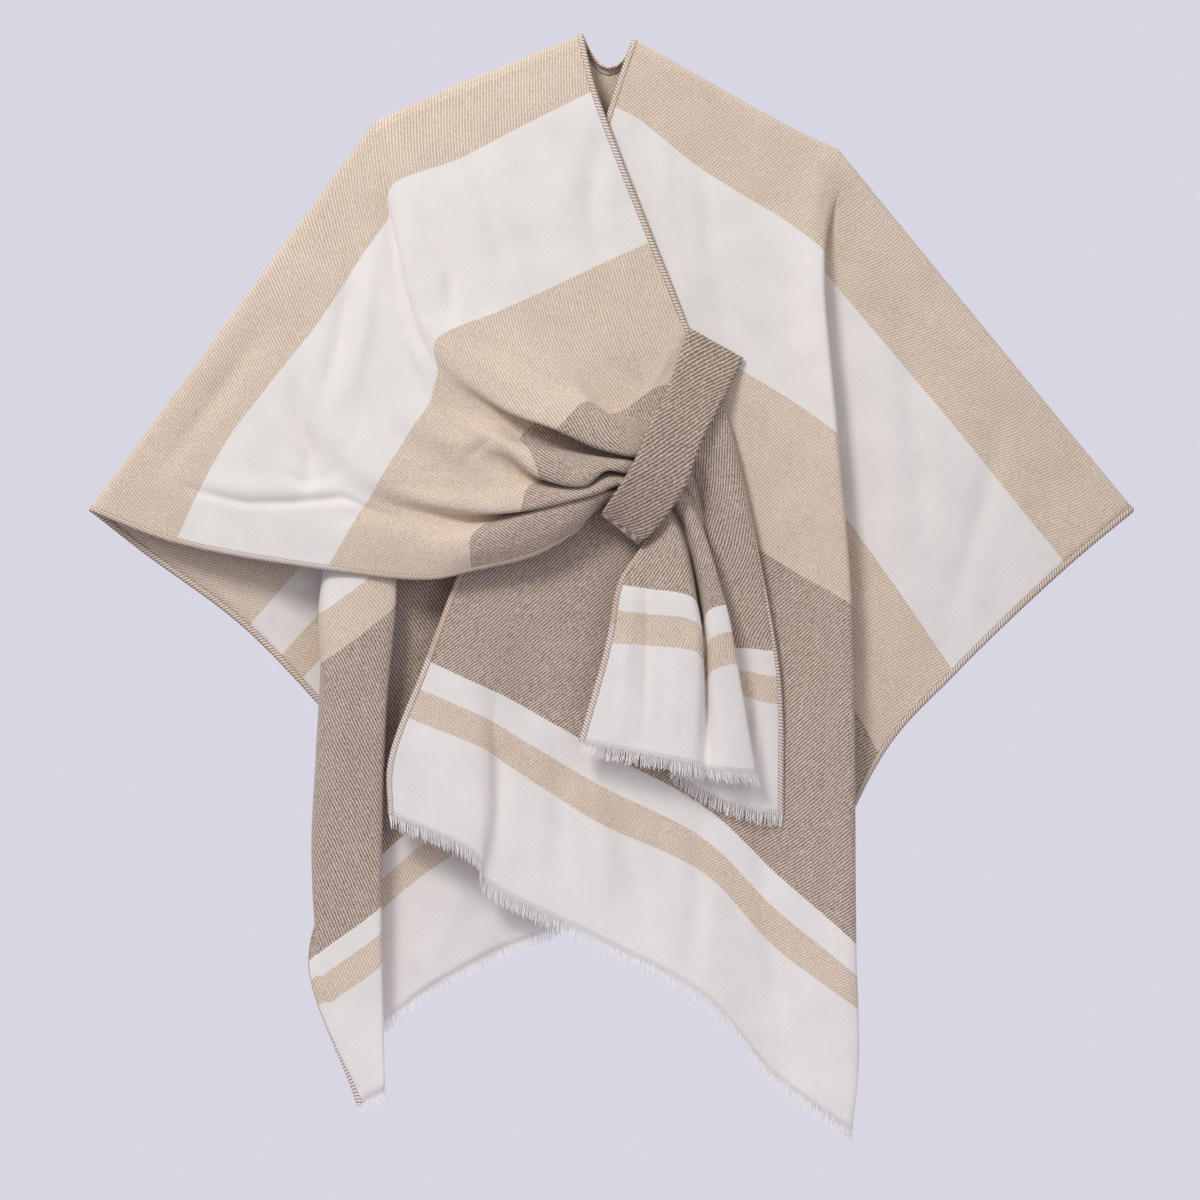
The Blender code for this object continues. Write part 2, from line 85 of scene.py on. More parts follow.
# one crease: how deep and how wide it is in millimetres, and the plan points it runs through. A
# trough is positive, a ridge negative.
Crease = namedtuple("Crease", "deep wide places")
# a crease takes this share of half a wave, filled out by the power, so that it fades out at both its ends
creaseFade = {"share": 0.94, "start": 0.03, "power": 0.7}

# the least step between a curve's knots, and the least stretch to share out between two points
leastKnot, leastSpan = 1e-3, 1e-9


def place(planPlace):
    right, down, depth = (at - origin for at, origin in zip(planPlace, plan["origin"]))
    return Vector((right * plan["step"], depth * plan["depthStep"], -down * plan["step"]))


def curvePoint(before, start, end, after, share):
    # centripetal curve from start to end, led by the neighbours on both sides
    knots = [0.0]
    for near, far in ((before, start), (start, end), (end, after)):
        knots.append(knots[-1] + max(math.sqrt((far - near).length), leastKnot))
    at = knots[1] + share * (knots[2] - knots[1])

    def blend(a, b, knotA, knotB):
        return a * ((knotB - at) / (knotB - knotA)) + b * ((at - knotA) / (knotB - knotA))

    first = blend(before, start, knots[0], knots[1])
    second = blend(start, end, knots[1], knots[2])
    third = blend(end, after, knots[2], knots[3])
    return blend(blend(first, second, knots[0], knots[2]), blend(second, third, knots[1], knots[3]),
                 knots[1], knots[2])


def curveThrough(points, shares):
    led = [points[0] * 2 - points[1]] + list(points) + [points[-1] * 2 - points[-2]]
    samples = []
    for stretch, stretchShares in enumerate(shares):
        samples += [curvePoint(*led[stretch:stretch + 4], share) for share in stretchShares]
    return samples + [points[-1]]


def straightThrough(points, shares):
    samples = [start.lerp(end, share)
               for start, end, stretchShares in zip(points, points[1:], shares) for share in stretchShares]
    return samples + [points[-1]]


def evenShares(counts):
    fine = cloth["fineness"]
    return [[step / (count * fine) for step in range(count * fine)] for count in counts]


def clothShares(counts):
    # the roll over the shoulder has its own steps at the start of the first stretch
    shares = evenShares(counts)
    fine, roll = cloth["fineness"], cloth["rollShare"]
    rollSteps = cloth["rollSteps"] * fine
    rest = counts[0] * fine - rollSteps
    shares[0] = [roll * step / rollSteps for step in range(rollSteps)]
    shares[0] += [roll + (1 - roll) * step / rest for step in range(rest)]
    return shares


def clothRows(folds, shares):
    # smooth across the fold lines, then smooth down them; the shoulder line itself is straight
    across = evenShares([fold.steps for fold in folds[:-1]])
    marked = [[place(fold.places[line]) for fold in folds] for line in range(len(folds[0].places))]
    lines = [straightThrough(marked[0], across)] + [curveThrough(line, across) for line in marked[1:]]
    columns = [curveThrough(list(column), shares) for column in zip(*lines)]
    return [list(row) for row in zip(*columns)]


def rollOverShoulder(rows, shares, side):
    # side is +1 in front and -1 behind
    radius, roll = cloth["rollRadius"], cloth["rollShare"]
    lastRoll = cloth["rollSteps"] * cloth["fineness"]
    fall = [(low - high).normalized() for high, low in zip(rows[0], rows[lastRoll])]
    spare = radius * (math.pi / 2 - 1)
    crest = [point.copy() for point in rows[0]]
    for row, share in zip(rows, shares[0]):
        turn = min(1.0, share / roll) * math.pi / 2
        for column, point in enumerate(row):
            if turn < math.pi / 2:
                point.xz = (crest[column] + fall[column] * radius * (1 - math.cos(turn))).xz
                point.y = crest[column].y + side * radius * (1 - math.sin(turn))
            else:
                point.xz = (point - fall[column] * spare * (1 - share) / (1 - roll)).xz


def lengthsAlong(row):
    lengths = [0.0]
    for start, end in zip(row, row[1:]):
        lengths.append(lengths[-1] + (end - start).length)
    return lengths


def mixLine(line, at):
    # a line's distance from the shoulder: one number, or one for each fold
    if not isinstance(line, tuple):
        return line
    index = min(int(at), len(line) - 2)
    return line[index] + (line[index + 1] - line[index]) * (at - index)


def downPlaces(folds, lines, shares):
    # how far each grid corner lies from the shoulder on the flat cloth
    across = evenShares([fold.steps for fold in folds[:-1]])
    foldShares = straightThrough([Vector((index, 0, 0)) for index in range(len(folds))], across)
    downRows = []
    for high, low, stretchShares in zip(lines, lines[1:], shares):
        for share in stretchShares:
            downRows.append([mixLine(high, at.x) * (1 - share) + mixLine(low, at.x) * share
                             for at in foldShares])
    downRows.append([mixLine(lines[-1], at.x) for at in foldShares])
    return downRows


def straightThreads(rows, down, lean, startColumn=0):
    # on smooth cloth: how far each grid corner lies across the diagonal threads
    sine, cosine = math.sin(math.radians(lean)), math.cos(math.radians(lean))
    threads = []
    for row, downRow in zip(rows, down):
        lengths = lengthsAlong(row)
        threads.append([(length - lengths[startColumn]) * sine + fall * cosine
                        for length, fall in zip(lengths, downRow)])
    return threads


# how the threads of gathered cloth are found
draping = {
    "rounds": 700,             # of the solver
    "fade": -1.5,              # power of the squared distance with which a told place loses its pull
    # these keep the divisions finite
    "leastAway": 1e-5, "leastEdge": 1e-6, "leastSquare": 1e-8,
}


def drapedThreads(rows, runs):
    # on gathered cloth the threads run as told at some places: (right, down, degrees above the level).
    # The distance across them grows as evenly as it can from corner to corner.
    points = numpy.array([[list(point) for point in row] for row in rows])
    marks = numpy.array([list(place((right, down, 0))) for right, down, _ in runs])[:, ::2]
    leans = numpy.radians([lean for _, _, lean in runs])

    def goals(axis):
        edges = numpy.diff(points, axis=axis)
        starts = points[:-1] if axis == 0 else points[:, :-1]
        middles = (starts + edges / 2)[..., ::2]
        pulls = (((middles[..., None, :] - marks) ** 2).sum(-1) + draping["leastAway"]) ** draping["fade"]
        lean = (pulls * leans).sum(-1) / pulls.sum(-1)
        flat, lengths = edges[..., ::2], numpy.linalg.norm(edges, axis=-1)
        turned = flat[..., 0] * numpy.sin(lean) - flat[..., 1] * numpy.cos(lean)
        return (lengths * turned / (numpy.linalg.norm(flat, axis=-1) + draping["leastEdge"]),
                1 / (lengths ** 2 + draping["leastSquare"]))

    (goalDown, firmDown), (goalAcross, firmAcross) = goals(0), goals(1)

    def summed(downSteps, acrossSteps, sign=-1):
        total = numpy.zeros(points.shape[:2])
        total[1:] += firmDown * downSteps
        total[:-1] += sign * firmDown * downSteps
        total[:, 1:] += firmAcross * acrossSteps
        total[:, :-1] += sign * firmAcross * acrossSteps
        return total

    # conjugate gradients
    scale = summed(1, 1, 1)
    threads = numpy.zeros(points.shape[:2])
    rest = summed(goalDown, goalAcross)
    heading = rest / scale
    size = (rest * heading).sum()
    for _ in range(draping["rounds"]):
        pushed = summed(numpy.diff(heading, axis=0), numpy.diff(heading, axis=1))
        step = size / (heading * pushed).sum()
        threads += step * heading
        rest -= step * pushed
        eased = rest / scale
        newSize = (rest * eased).sum()
        heading = eased + heading * (newSize / size)
        size = newSize
    return threads.tolist()


def creaseDepths(points, creases):
    # how far each point is pushed in by the creases
    flat = numpy.array([((p.x / plan["step"]) + plan["origin"][0], plan["origin"][1] - p.z / plan["step"])
                        for p in points])
    total = numpy.zeros(len(points))
    for crease in creases:
        run = numpy.array(crease.places, dtype=float)
        steps = numpy.linalg.norm(run[1:] - run[:-1], axis=1)
        length, passed = steps.sum(), 0.0
        nearest = numpy.full(len(points), numpy.inf)
        atShare = numpy.zeros(len(points))
        for start, end, step in zip(run, run[1:], steps):
            along = numpy.clip(((flat - start) @ (end - start)) / step ** 2, 0, 1)
            away = numpy.linalg.norm(flat - (start + along[:, None] * (end - start)), axis=1)
            closer = away < nearest
            nearest = numpy.where(closer, away, nearest)
            atShare = numpy.where(closer, (passed + along * step) / length, atShare)
            passed += step
        halfWave = numpy.pi * numpy.clip(atShare * creaseFade["share"] + creaseFade["start"], 0, 1)
        fade = numpy.sin(halfWave) ** creaseFade["power"]
        across = nearest * plan["step"] / (crease.wide * millimetre)
        total += crease.deep * millimetre * fade * numpy.exp(-across ** 2)
    return total


def pressCreases(rows, creases, side):
    # side is +1 on cloth that is seen from the front, -1 on cloth that is seen from behind
    points = [point for row in rows for point in row]
    for point, depth in zip(points, creaseDepths(points, creases)):
        point.y += side * depth


def uneven(rows, seed):
    # slow sway and a small ripple, so that no stretch hangs as flat as a board
    (sway, swayAcross, swayDown), (ripple, rippleAcross, rippleDown) = cloth["sway"], cloth["ripple"]
    rippleSeed = seed + cloth["rippleSeed"]
    for row in rows[cloth["rollSteps"] * cloth["fineness"]:]:
        for point in row:
            slow = noise.noise(Vector((point.x * swayAcross + seed, point.z * swayDown, seed)))
            quick = noise.noise(Vector((point.x * rippleAcross, point.z * rippleDown, rippleSeed)))
            point.y += slow * sway + quick * ripple


def hangCloth(folds, steps, lines, side, seed, settle=None):
    # the hanging cloth's grid of points, and how far down the flat cloth each of them lies
    shares = clothShares(steps)
    rows = clothRows(folds, shares)
    if settle:
        settle(rows)
    rollOverShoulder(rows, shares, side)
    uneven(rows, seed)
    return rows, downPlaces(folds, lines, shares)


def foldColumn(folds, name):
    names = [fold.name for fold in folds]
    return sum(fold.steps for fold in folds[:names.index(name)]) * cloth["fineness"]


def columnOf(rows, index, start):
    return [row[index] for row in rows[start:]]


def surfaceFromRows(rows, leftOut=None):
    # a grid whose corners are moved to the rows of points, without the cells that are left out
    rowSteps, columnSteps = len(rows) - 1, len(rows[0]) - 1
    bm = bmesh.new()
    bmesh.ops.create_grid(bm, x_segments=columnSteps, y_segments=rowSteps, size=0.5)
    if leftOut:
        cells = [(face, face.calc_center_median()) for face in bm.faces]
        gaps = [face for face, middle in cells
                if leftOut(int((middle.y + 0.5) * rowSteps), int((middle.x + 0.5) * columnSteps))]
        bmesh.ops.delete(bm, geom=gaps, context="FACES")
    flat = bm.verts.layers.float_vector.new("gridPlace")
    for corner in bm.verts:
        column = round((corner.co.x + 0.5) * columnSteps)
        row = round((corner.co.y + 0.5) * rowSteps)
        corner[flat] = (column, row, 0)
        corner.co = rows[row][column]
    return bm


def layWeave(bm, weaveAt):
    # the weave map, in metres on the flat cloth
    flat = bm.verts.layers.float_vector["gridPlace"]
    weave = bm.loops.layers.uv.new("weave")
    for face in bm.faces:
        for loop in face.loops:
            column, row, _ = loop.vert[flat]
            loop[weave].uv = weaveAt(round(column), round(row))


def markCorners(bm, name, amountAt):
    flat = bm.verts.layers.float_vector["gridPlace"]
    layer = bm.verts.layers.float.new(name)
    for corner in bm.verts:
        column, row, _ = corner[flat]
        corner[layer] = amountAt(round(column), round(row))


def addObject(name, data):
    added = bpy.data.objects.new(name, data)
    bpy.context.scene.collection.objects.link(added)
    return added


def finishPiece(name, bm, material, wall=None, replaced=(), smooth=True):
    mesh = bpy.data.meshes.new(name)
    bm.verts.layers.float_vector.remove(bm.verts.layers.float_vector["gridPlace"])
    bm.to_mesh(mesh)
    bm.free()
    if smooth:
        mesh.shade_smooth()
    piece = addObject(name, mesh)
    mesh.materials.append(material)
    if wall:
        thickness = piece.modifiers.new("wall", "SOLIDIFY")
        thickness.thickness = wall
        thickness.offset = 0.0
        thickness.use_quality_normals = True
    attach(piece, "root")
    if replaced:
        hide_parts(*replaced)
    return piece


def layCloth(name, rows, threads, down, material, replaced):
    bm = surfaceFromRows(rows)
    layWeave(bm, lambda column, row: (threads[row][column], down[row][column]))
    return finishPiece(name, bm, material, cloth["thickness"], replaced)


# materials
def colour(code):
    # a screen colour's code turned into the shader's linear values
    parts = [int(code[i:i + 2], 16) / 255 for i in (1, 3, 5)]
    return tuple(c / 12.92 if c <= 0.04045 else ((c + 0.055) / 1.055) ** 2.4 for c in parts) + (1.0,)


def startMaterial(name, surface):
    material = bpy.data.materials.new(name)
    material.use_nodes = True
    shader = material.node_tree.nodes["Principled BSDF"]
    for socket, value in surface.items():
        shader.inputs[socket].default_value = value
    return material, material.node_tree, shader


def addNode(tree, kind, inputs=(), **settings):
    # inputs go to the sockets by name or number: a value, or the output of another node
    node = tree.nodes.new(kind)
    for name, value in settings.items():
        setattr(node, name, value)
    for socket, value in dict(inputs).items():
        if isinstance(value, bpy.types.NodeSocket):
            tree.links.new(value, node.inputs[socket])
        else:
            node.inputs[socket].default_value = value
    return node


def reckon(tree, operation, *terms, clamp=False):
    return addNode(tree, "ShaderNodeMath", enumerate(terms), operation=operation, use_clamp=clamp).outputs[0]


def mapped(tree, value, fromLow, fromHigh, toLow=0.0, toHigh=1.0):
    return addNode(tree, "ShaderNodeMapRange", {"Value": value, "From Min": fromLow, "From Max": fromHigh,
                                                "To Min": toLow, "To Max": toHigh}).outputs["Result"]


def mixed(tree, share, first, second):
    return addNode(tree, "ShaderNodeMix", {0: share, 6: first, 7: second}, data_type="RGBA").outputs[2]


def noiseAt(tree, spot, scale, detail, roughness=0.5):
    return addNode(tree, "ShaderNodeTexNoise", {"Vector": spot, "Scale": scale, "Detail": detail,
                                                "Roughness": roughness}).outputs["Fac"]


def weavePlace(tree):
    return addNode(tree, "ShaderNodeUVMap", uv_map="weave").outputs["UV"]


def parted(tree, spot):
    return addNode(tree, "ShaderNodeSeparateXYZ", {"Vector": spot}).outputs


def byDistance(tree, down, stretches, shown):
    # for each stretch from the shoulder down: its kind's colour, or its kind's strength as a grey
    ramp = addNode(tree, "ShaderNodeValToRGB", {"Fac": down})
    ramp.color_ramp.interpolation = "CONSTANT"
    stops = ramp.color_ramp.elements
    while len(stops) > 1:
        stops.remove(stops[-1])
    for index, (start, kind) in enumerate(stretches):
        stop = stops[0] if index == 0 else stops.new(start)
        stop.position = start
        stop.color = colour(shown[kind]) if isinstance(shown[kind], str) else (shown[kind],) * 3 + (1.0,)
    return ramp.outputs["Color"]


twill = {
    "pitch": 0.0025,           # from one diagonal line to the next
    "lean": 63,                # degrees from the stripes to the diagonal lines
    "light": {"beige": "#F0E3D2", "taupe": "#E4D3C3", "white": "#F1ECE5"},
    "dark": {"beige": "#CAB094", "taupe": "#826953", "white": "#EDE7E0"},
    "surface": {"Roughness": 0.92, "Sheen Weight": 0.25, "Sheen Roughness": 0.6, "Specular IOR Level": 0.2},
    "lines": {"Distortion": 1.3, "Detail": 2.0, "Detail Scale": 2.2, "Detail Roughness": 0.6},
    "lineGain": 0.85,
    # threads that show more or less, in flecks a millimetre or two long
    "fleckScale": 560, "fleckRoughness": 0.65, "fleckGain": 1.7, "fleckShift": -0.8,
    # the stripes' borders waver by a thread or so
    "waverScale": 700, "waver": 0.0016,
    # the nap shifts the tone slowly over a few centimetres
    "toneScale": 26, "toneRange": (0.3, 0.7, 0.955, 1.03),
    # raised lines, strong in the yarn-dyed stripes and nearly brushed away in the white ones
    "raised": {"beige": 0.5, "taupe": 0.85, "white": 0.03},
    "napScale": 900, "napShare": 0.3,
    "bump": {"Strength": 0.6, "Distance": 0.0005},
    # three picks are drawn apart just above the fringe, and the cloth's last strip is painted lighter, to
    # cancel the shade on its downward-facing end
    "hem": ((0.0, "plain"), (0.7462, "pick"), (0.7472, "plain"), (0.7507, "pick"), (0.7517, "plain"),
            (0.7552, "pick"), (0.7562, "plain"), (0.7598, "edge")),
    "hemPicksAndPaintedLight": {"plain": 1.0, "pick": 0.91, "edge": 1.12},
}
# stripes from the shoulder down: where each one starts, in metres, and its yarn
frontStripes = ((0.0, "beige"), (0.073, "white"), (0.213, "beige"), (0.359, "taupe"), (0.611, "white"),
                (0.635, "beige"), (0.664, "white"))
backStripes = ((0.0, "beige"), (0.180, "white"), (0.222, "beige"), (0.247, "white"), (0.309, "beige"),
               (0.359, "taupe"), (0.611, "white"), (0.635, "beige"), (0.664, "white"))
strapTwill = {
    "pitch": 0.0035,
    "lean": 56,
    "light": "#DFCFC0",
    "dark": "#8E745F",
    "surface": {"Roughness": 0.92, "Sheen Weight": 0.25, "Specular IOR Level": 0.2},
    "lineGain": 0.9,
    "fleckScale": 420, "fleckRoughness": 0.5, "fleckGain": 1.7, "fleckShift": -0.9,
    "bump": {"Strength": 0.8, "Distance": 0.0008},
}


def shownThreads(tree, weave, spot, look):
    # a sine across the diagonal threads (a wave texture makes 20 / (2 pi) bands to the unit), with flecks
    scale = 2 * math.pi / 20 / look["pitch"]
    lines = addNode(tree, "ShaderNodeTexWave", {"Scale": scale, "Vector": weave, **twill["lines"]},
                    wave_type="BANDS", bands_direction="X").outputs["Fac"]
    flecks = noiseAt(tree, spot, look["fleckScale"], 2, look["fleckRoughness"])
    flecked = reckon(tree, "MULTIPLY_ADD", flecks, look["fleckGain"], look["fleckShift"])
    return reckon(tree, "MULTIPLY_ADD", lines, look["lineGain"], flecked, clamp=True)


def dress(tree, shader, shade, height, bump):
    tree.links.new(shade, shader.inputs["Base Color"])
    normal = addNode(tree, "ShaderNodeBump", {"Height": height, **bump}).outputs["Normal"]
    tree.links.new(normal, shader.inputs["Normal"])


def brushedTwill(name, stripes):
    # brushed wool-like twill: diagonal lines of light yarn over a darker ground, softened by the nap
    material, tree, shader = startMaterial(name, twill["surface"])
    weave = weavePlace(tree)
    spot = addNode(tree, "ShaderNodeTexCoord").outputs["Object"]
    along = parted(tree, weave)["Y"]
    waver = noiseAt(tree, weave, twill["waverScale"], 1)
    wavering = reckon(tree, "MULTIPLY_ADD", waver, twill["waver"], -twill["waver"] / 2)
    down = reckon(tree, "ADD", along, wavering)
    shown = shownThreads(tree, weave, spot, twill)
    blend = mixed(tree, shown, byDistance(tree, down, stripes, twill["dark"]),
                  byDistance(tree, down, stripes, twill["light"]))
    # the hem's picks, and painted light on the cloth's last strip
    hemShade = byDistance(tree, along, twill["hem"], twill["hemPicksAndPaintedLight"])
    tone = mapped(tree, noiseAt(tree, spot, twill["toneScale"], 3), *twill["toneRange"])
    shade = reckon(tree, "MULTIPLY", tone, hemShade)
    final = addNode(tree, "ShaderNodeVectorMath", {0: blend, "Scale": shade}, operation="SCALE")
    lift = reckon(tree, "MULTIPLY", shown, byDistance(tree, down, stripes, twill["raised"]))
    height = reckon(tree, "MULTIPLY_ADD", noiseAt(tree, spot, twill["napScale"], 2), twill["napShare"], lift)
    dress(tree, shader, final.outputs["Vector"], height, twill["bump"])
    return material


def coarseTwill(name):
    # the strap's doubled twill, cut so that its lines run steeply and stand further apart
    material, tree, shader = startMaterial(name, strapTwill["surface"])
    spot = addNode(tree, "ShaderNodeTexCoord").outputs["Object"]
    shown = shownThreads(tree, weavePlace(tree), spot, strapTwill)
    blend = mixed(tree, shown, colour(strapTwill["dark"]), colour(strapTwill["light"]))
    dress(tree, shader, blend, shown, strapTwill["bump"])
    return material


overlock = {
    "width": 0.0052,           # from the cut edge to the needle line
    "stitchPitch": 0.0031,
    "slant": 0.8,              # how far a stitch leans for each step inwards
    "loopHeight": 0.0004,
    "clearance": 0.0003,       # over the cloth's faces
    "alongStep": 0.0008,
    # across the edge: how far in as a share of the width, which side of the cloth, and how proud
    "profile": ((1.0, 1, 0.15), (0.8, 1, 1.0), (0.5, 1, 1.0), (0.15, 1, 1.0), (-0.1, 0, 1.0),
                (0.15, -1, 1.0), (0.5, -1, 1.0), (0.8, -1, 1.0), (1.0, -1, 0.15)),
    "needle": "#8F6A4A",
    "thread": "#976E4B",
    "surface": {"Roughness": 0.7, "Specular IOR Level": 0.3},
    "loopRange": (-0.2, 0.7, 0.0, 0.85),
    "needleRange": (0.78, 0.86),   # shares of the width
}


def overlockYarn(name, stripes):
    # matt tan sewing thread in slanting loops over the striped edge, with a darker needle line
    material, tree, shader = startMaterial(name, overlock["surface"])
    weave = parted(tree, weavePlace(tree))
    phase = reckon(tree, "MULTIPLY", weave["X"], 2 * math.pi / overlock["stitchPitch"])
    loops = mapped(tree, reckon(tree, "SINE", phase), *overlock["loopRange"])
    needle = mapped(tree, weave["Y"], *(overlock["width"] * share for share in overlock["needleRange"]))
    down = addNode(tree, "ShaderNodeAttribute", attribute_name="down").outputs["Fac"]
    between = byDistance(tree, down, stripes, twill["light"])
    threads = mixed(tree, loops, between, colour(overlock["thread"]))
    edged = mixed(tree, needle, threads, colour(overlock["needle"]))
    tree.links.new(edged, shader.inputs["Base Color"])
    return material


# fine loose white yarn
fringe = {
    "pitch": 0.0009,
    "length": 0.0118,
    "lengths": (0.72, 1.1),    # shares of it, from the shortest thread to the longest
    "thread": 0.00086,         # width at the root
    "taper": 0.45,             # share of the width that is lost at the tip
    "wall": 0.0003,
    "segments": 4,
    # threads to a tuft, how far their tips are drawn together, and the power by which that grows
    "tuft": 5, "gather": 0.35, "gatherCurve": 1.3,
    "drift": 0.0016, "driftCurve": 1.5,    # how far a tip strays, in the same way
    "sag": 0.0012,
    # the threads leave the cloth by turns on its two faces, a little above its end
    "root": 0.0016, "faceOut": 0.0009,
    "weaveStep": (0.0005, 0.003),
    "surface": {"Base Color": colour("#F7F4F0"), "Roughness": 0.85, "Specular IOR Level": 0.2,
                "Sheen Weight": 0.3},
}
frontTwill = brushedTwill("brushedTwillFront", frontStripes)
backTwill = brushedTwill("brushedTwillBack", backStripes)
keeperTwill = coarseTwill("coarseTwillStrap")
frontEdgeYarn = overlockYarn("overlockYarnFront", frontStripes)
backEdgeYarn = overlockYarn("overlockYarnBack", backStripes)
looseYarn, *_ = startMaterial("looseYarn", fringe["surface"])
print("materials ready")


# edge sewing and fringes, shared by all the pieces
def resample(points, step):
    lengths = lengthsAlong(points)
    count = max(2, round(lengths[-1] / step))
    samples, index = [], 1
    for at in range(count + 1):
        length = lengths[-1] * at / count
        while index < len(points) - 1 and lengths[index] < length:
            index += 1
        span = max(lengths[index] - lengths[index - 1], leastSpan)
        samples.append(points[index - 1].lerp(points[index], (length - lengths[index - 1]) / span))
    return samples


def sewEdge(name, edge, inner, downs, yarn):
    # loops of yarn round a cut edge: over one face, round the edge and back over the other face
    edgePoints = resample(edge, overlock["alongStep"])
    innerPoints = resample(inner, lengthsAlong(inner)[-1] / (len(edgePoints) - 1))
    innerPoints += innerPoints[-1:] * (len(edgePoints) - len(innerPoints))
    width, high = overlock["width"], cloth["thickness"] / 2 + overlock["clearance"]
    rows, weaveRows = [], []
    for at, (edgePoint, innerPoint) in enumerate(zip(edgePoints, innerPoints)):
        inward = (innerPoint - edgePoint).normalized()
        after, before = edgePoints[min(at + 1, len(edgePoints) - 1)], edgePoints[max(at - 1, 0)]
        outOfCloth = inward.cross(after - before).normalized()
        row, weaveRow = [], []
        for share, side, proud in overlock["profile"]:
            into = max(share, 0) * width
            along = at * overlock["alongStep"] + side * into * overlock["slant"]
            loop = 0.5 + 0.5 * math.sin(2 * math.pi * along / overlock["stitchPitch"])
            lift = (high + overlock["loopHeight"] * loop) * proud
            row.append(edgePoint + inward * (into - (lift if side == 0 else 0)) + outOfCloth * side * lift)
            weaveRow.append((along, into))
        rows.append(row)
        weaveRows.append(weaveRow)
    bm = surfaceFromRows(rows)
    layWeave(bm, lambda column, row: weaveRows[row][column])
    last = len(rows) - 1
    markCorners(bm, "down", lambda column, row: downs[round(row / last * (len(downs) - 1))])
    return finishPiece(name, bm, yarn)


def sewSides(names, rows, down, start, yarn):
    # both side edges, from the starting row on
    edges = []
    for name, edge, inner in zip(names, (0, -1), (1, -2)):
        edgePoints, innerPoints = columnOf(rows, edge, start), columnOf(rows, inner, start)
        edges.append(sewEdge(name, edgePoints, innerPoints, columnOf(down, edge, start), yarn))
    return edges


def hangFringe(name, fabric, seed, replaced, long=1.0):
    # single threads below a hem, a little uneven in length, drift and curl, drawn together in small tufts
    hem, above = fabric[-1], fabric[-3]
    dice = random.Random(seed)
    points = resample(hem, fringe["pitch"])
    abovePoints = resample(above, lengthsAlong(above)[-1] / (len(points) - 1))
    drifts = [Vector((dice.uniform(-1, 1), dice.uniform(-1, 1), 0)) for _ in points]
    segments, lastPoint, lastAbove = fringe["segments"], len(points) - 1, len(abovePoints) - 1
    rows = [[] for _ in range(segments + 1)]
    for at in range(lastPoint):
        start = points[at]
        down = (start - abovePoints[min(at, lastAbove)]).normalized()
        side = (points[at + 1] - start).normalized()
        middle = at - at % fringe["tuft"] + fringe["tuft"] // 2
        gather = (points[min(middle, lastPoint)] - start) * fringe["gather"]
        length = fringe["length"] * long * dice.uniform(*fringe["lengths"])
        outward = side.cross(down)
        face = outward * (fringe["faceOut"] * (1 if at % 2 else -1)) - down * fringe["root"]
        for segment, row in enumerate(rows):
            share = segment / segments
            fall = down * (length * share) + Vector((0, 0, -fringe["sag"])) * share ** 2
            drift = (side * drifts[at].x + outward * drifts[at].y) * fringe["drift"]
            centre = (start + fall + drift * share ** fringe["driftCurve"]
                      + gather * share ** fringe["gatherCurve"] + face * (1 - share))
            half = side * fringe["thread"] * 0.5 * (1 - fringe["taper"] * share)
            row += [centre - half, centre + half]
    bm = surfaceFromRows(rows, lambda row, column: column % 2 == 1)
    acrossStep, downStep = fringe["weaveStep"]
    layWeave(bm, lambda column, row: (column * acrossStep, row * downStep))
    return finishPiece(name, bm, looseYarn, fringe["wall"], replaced, False)


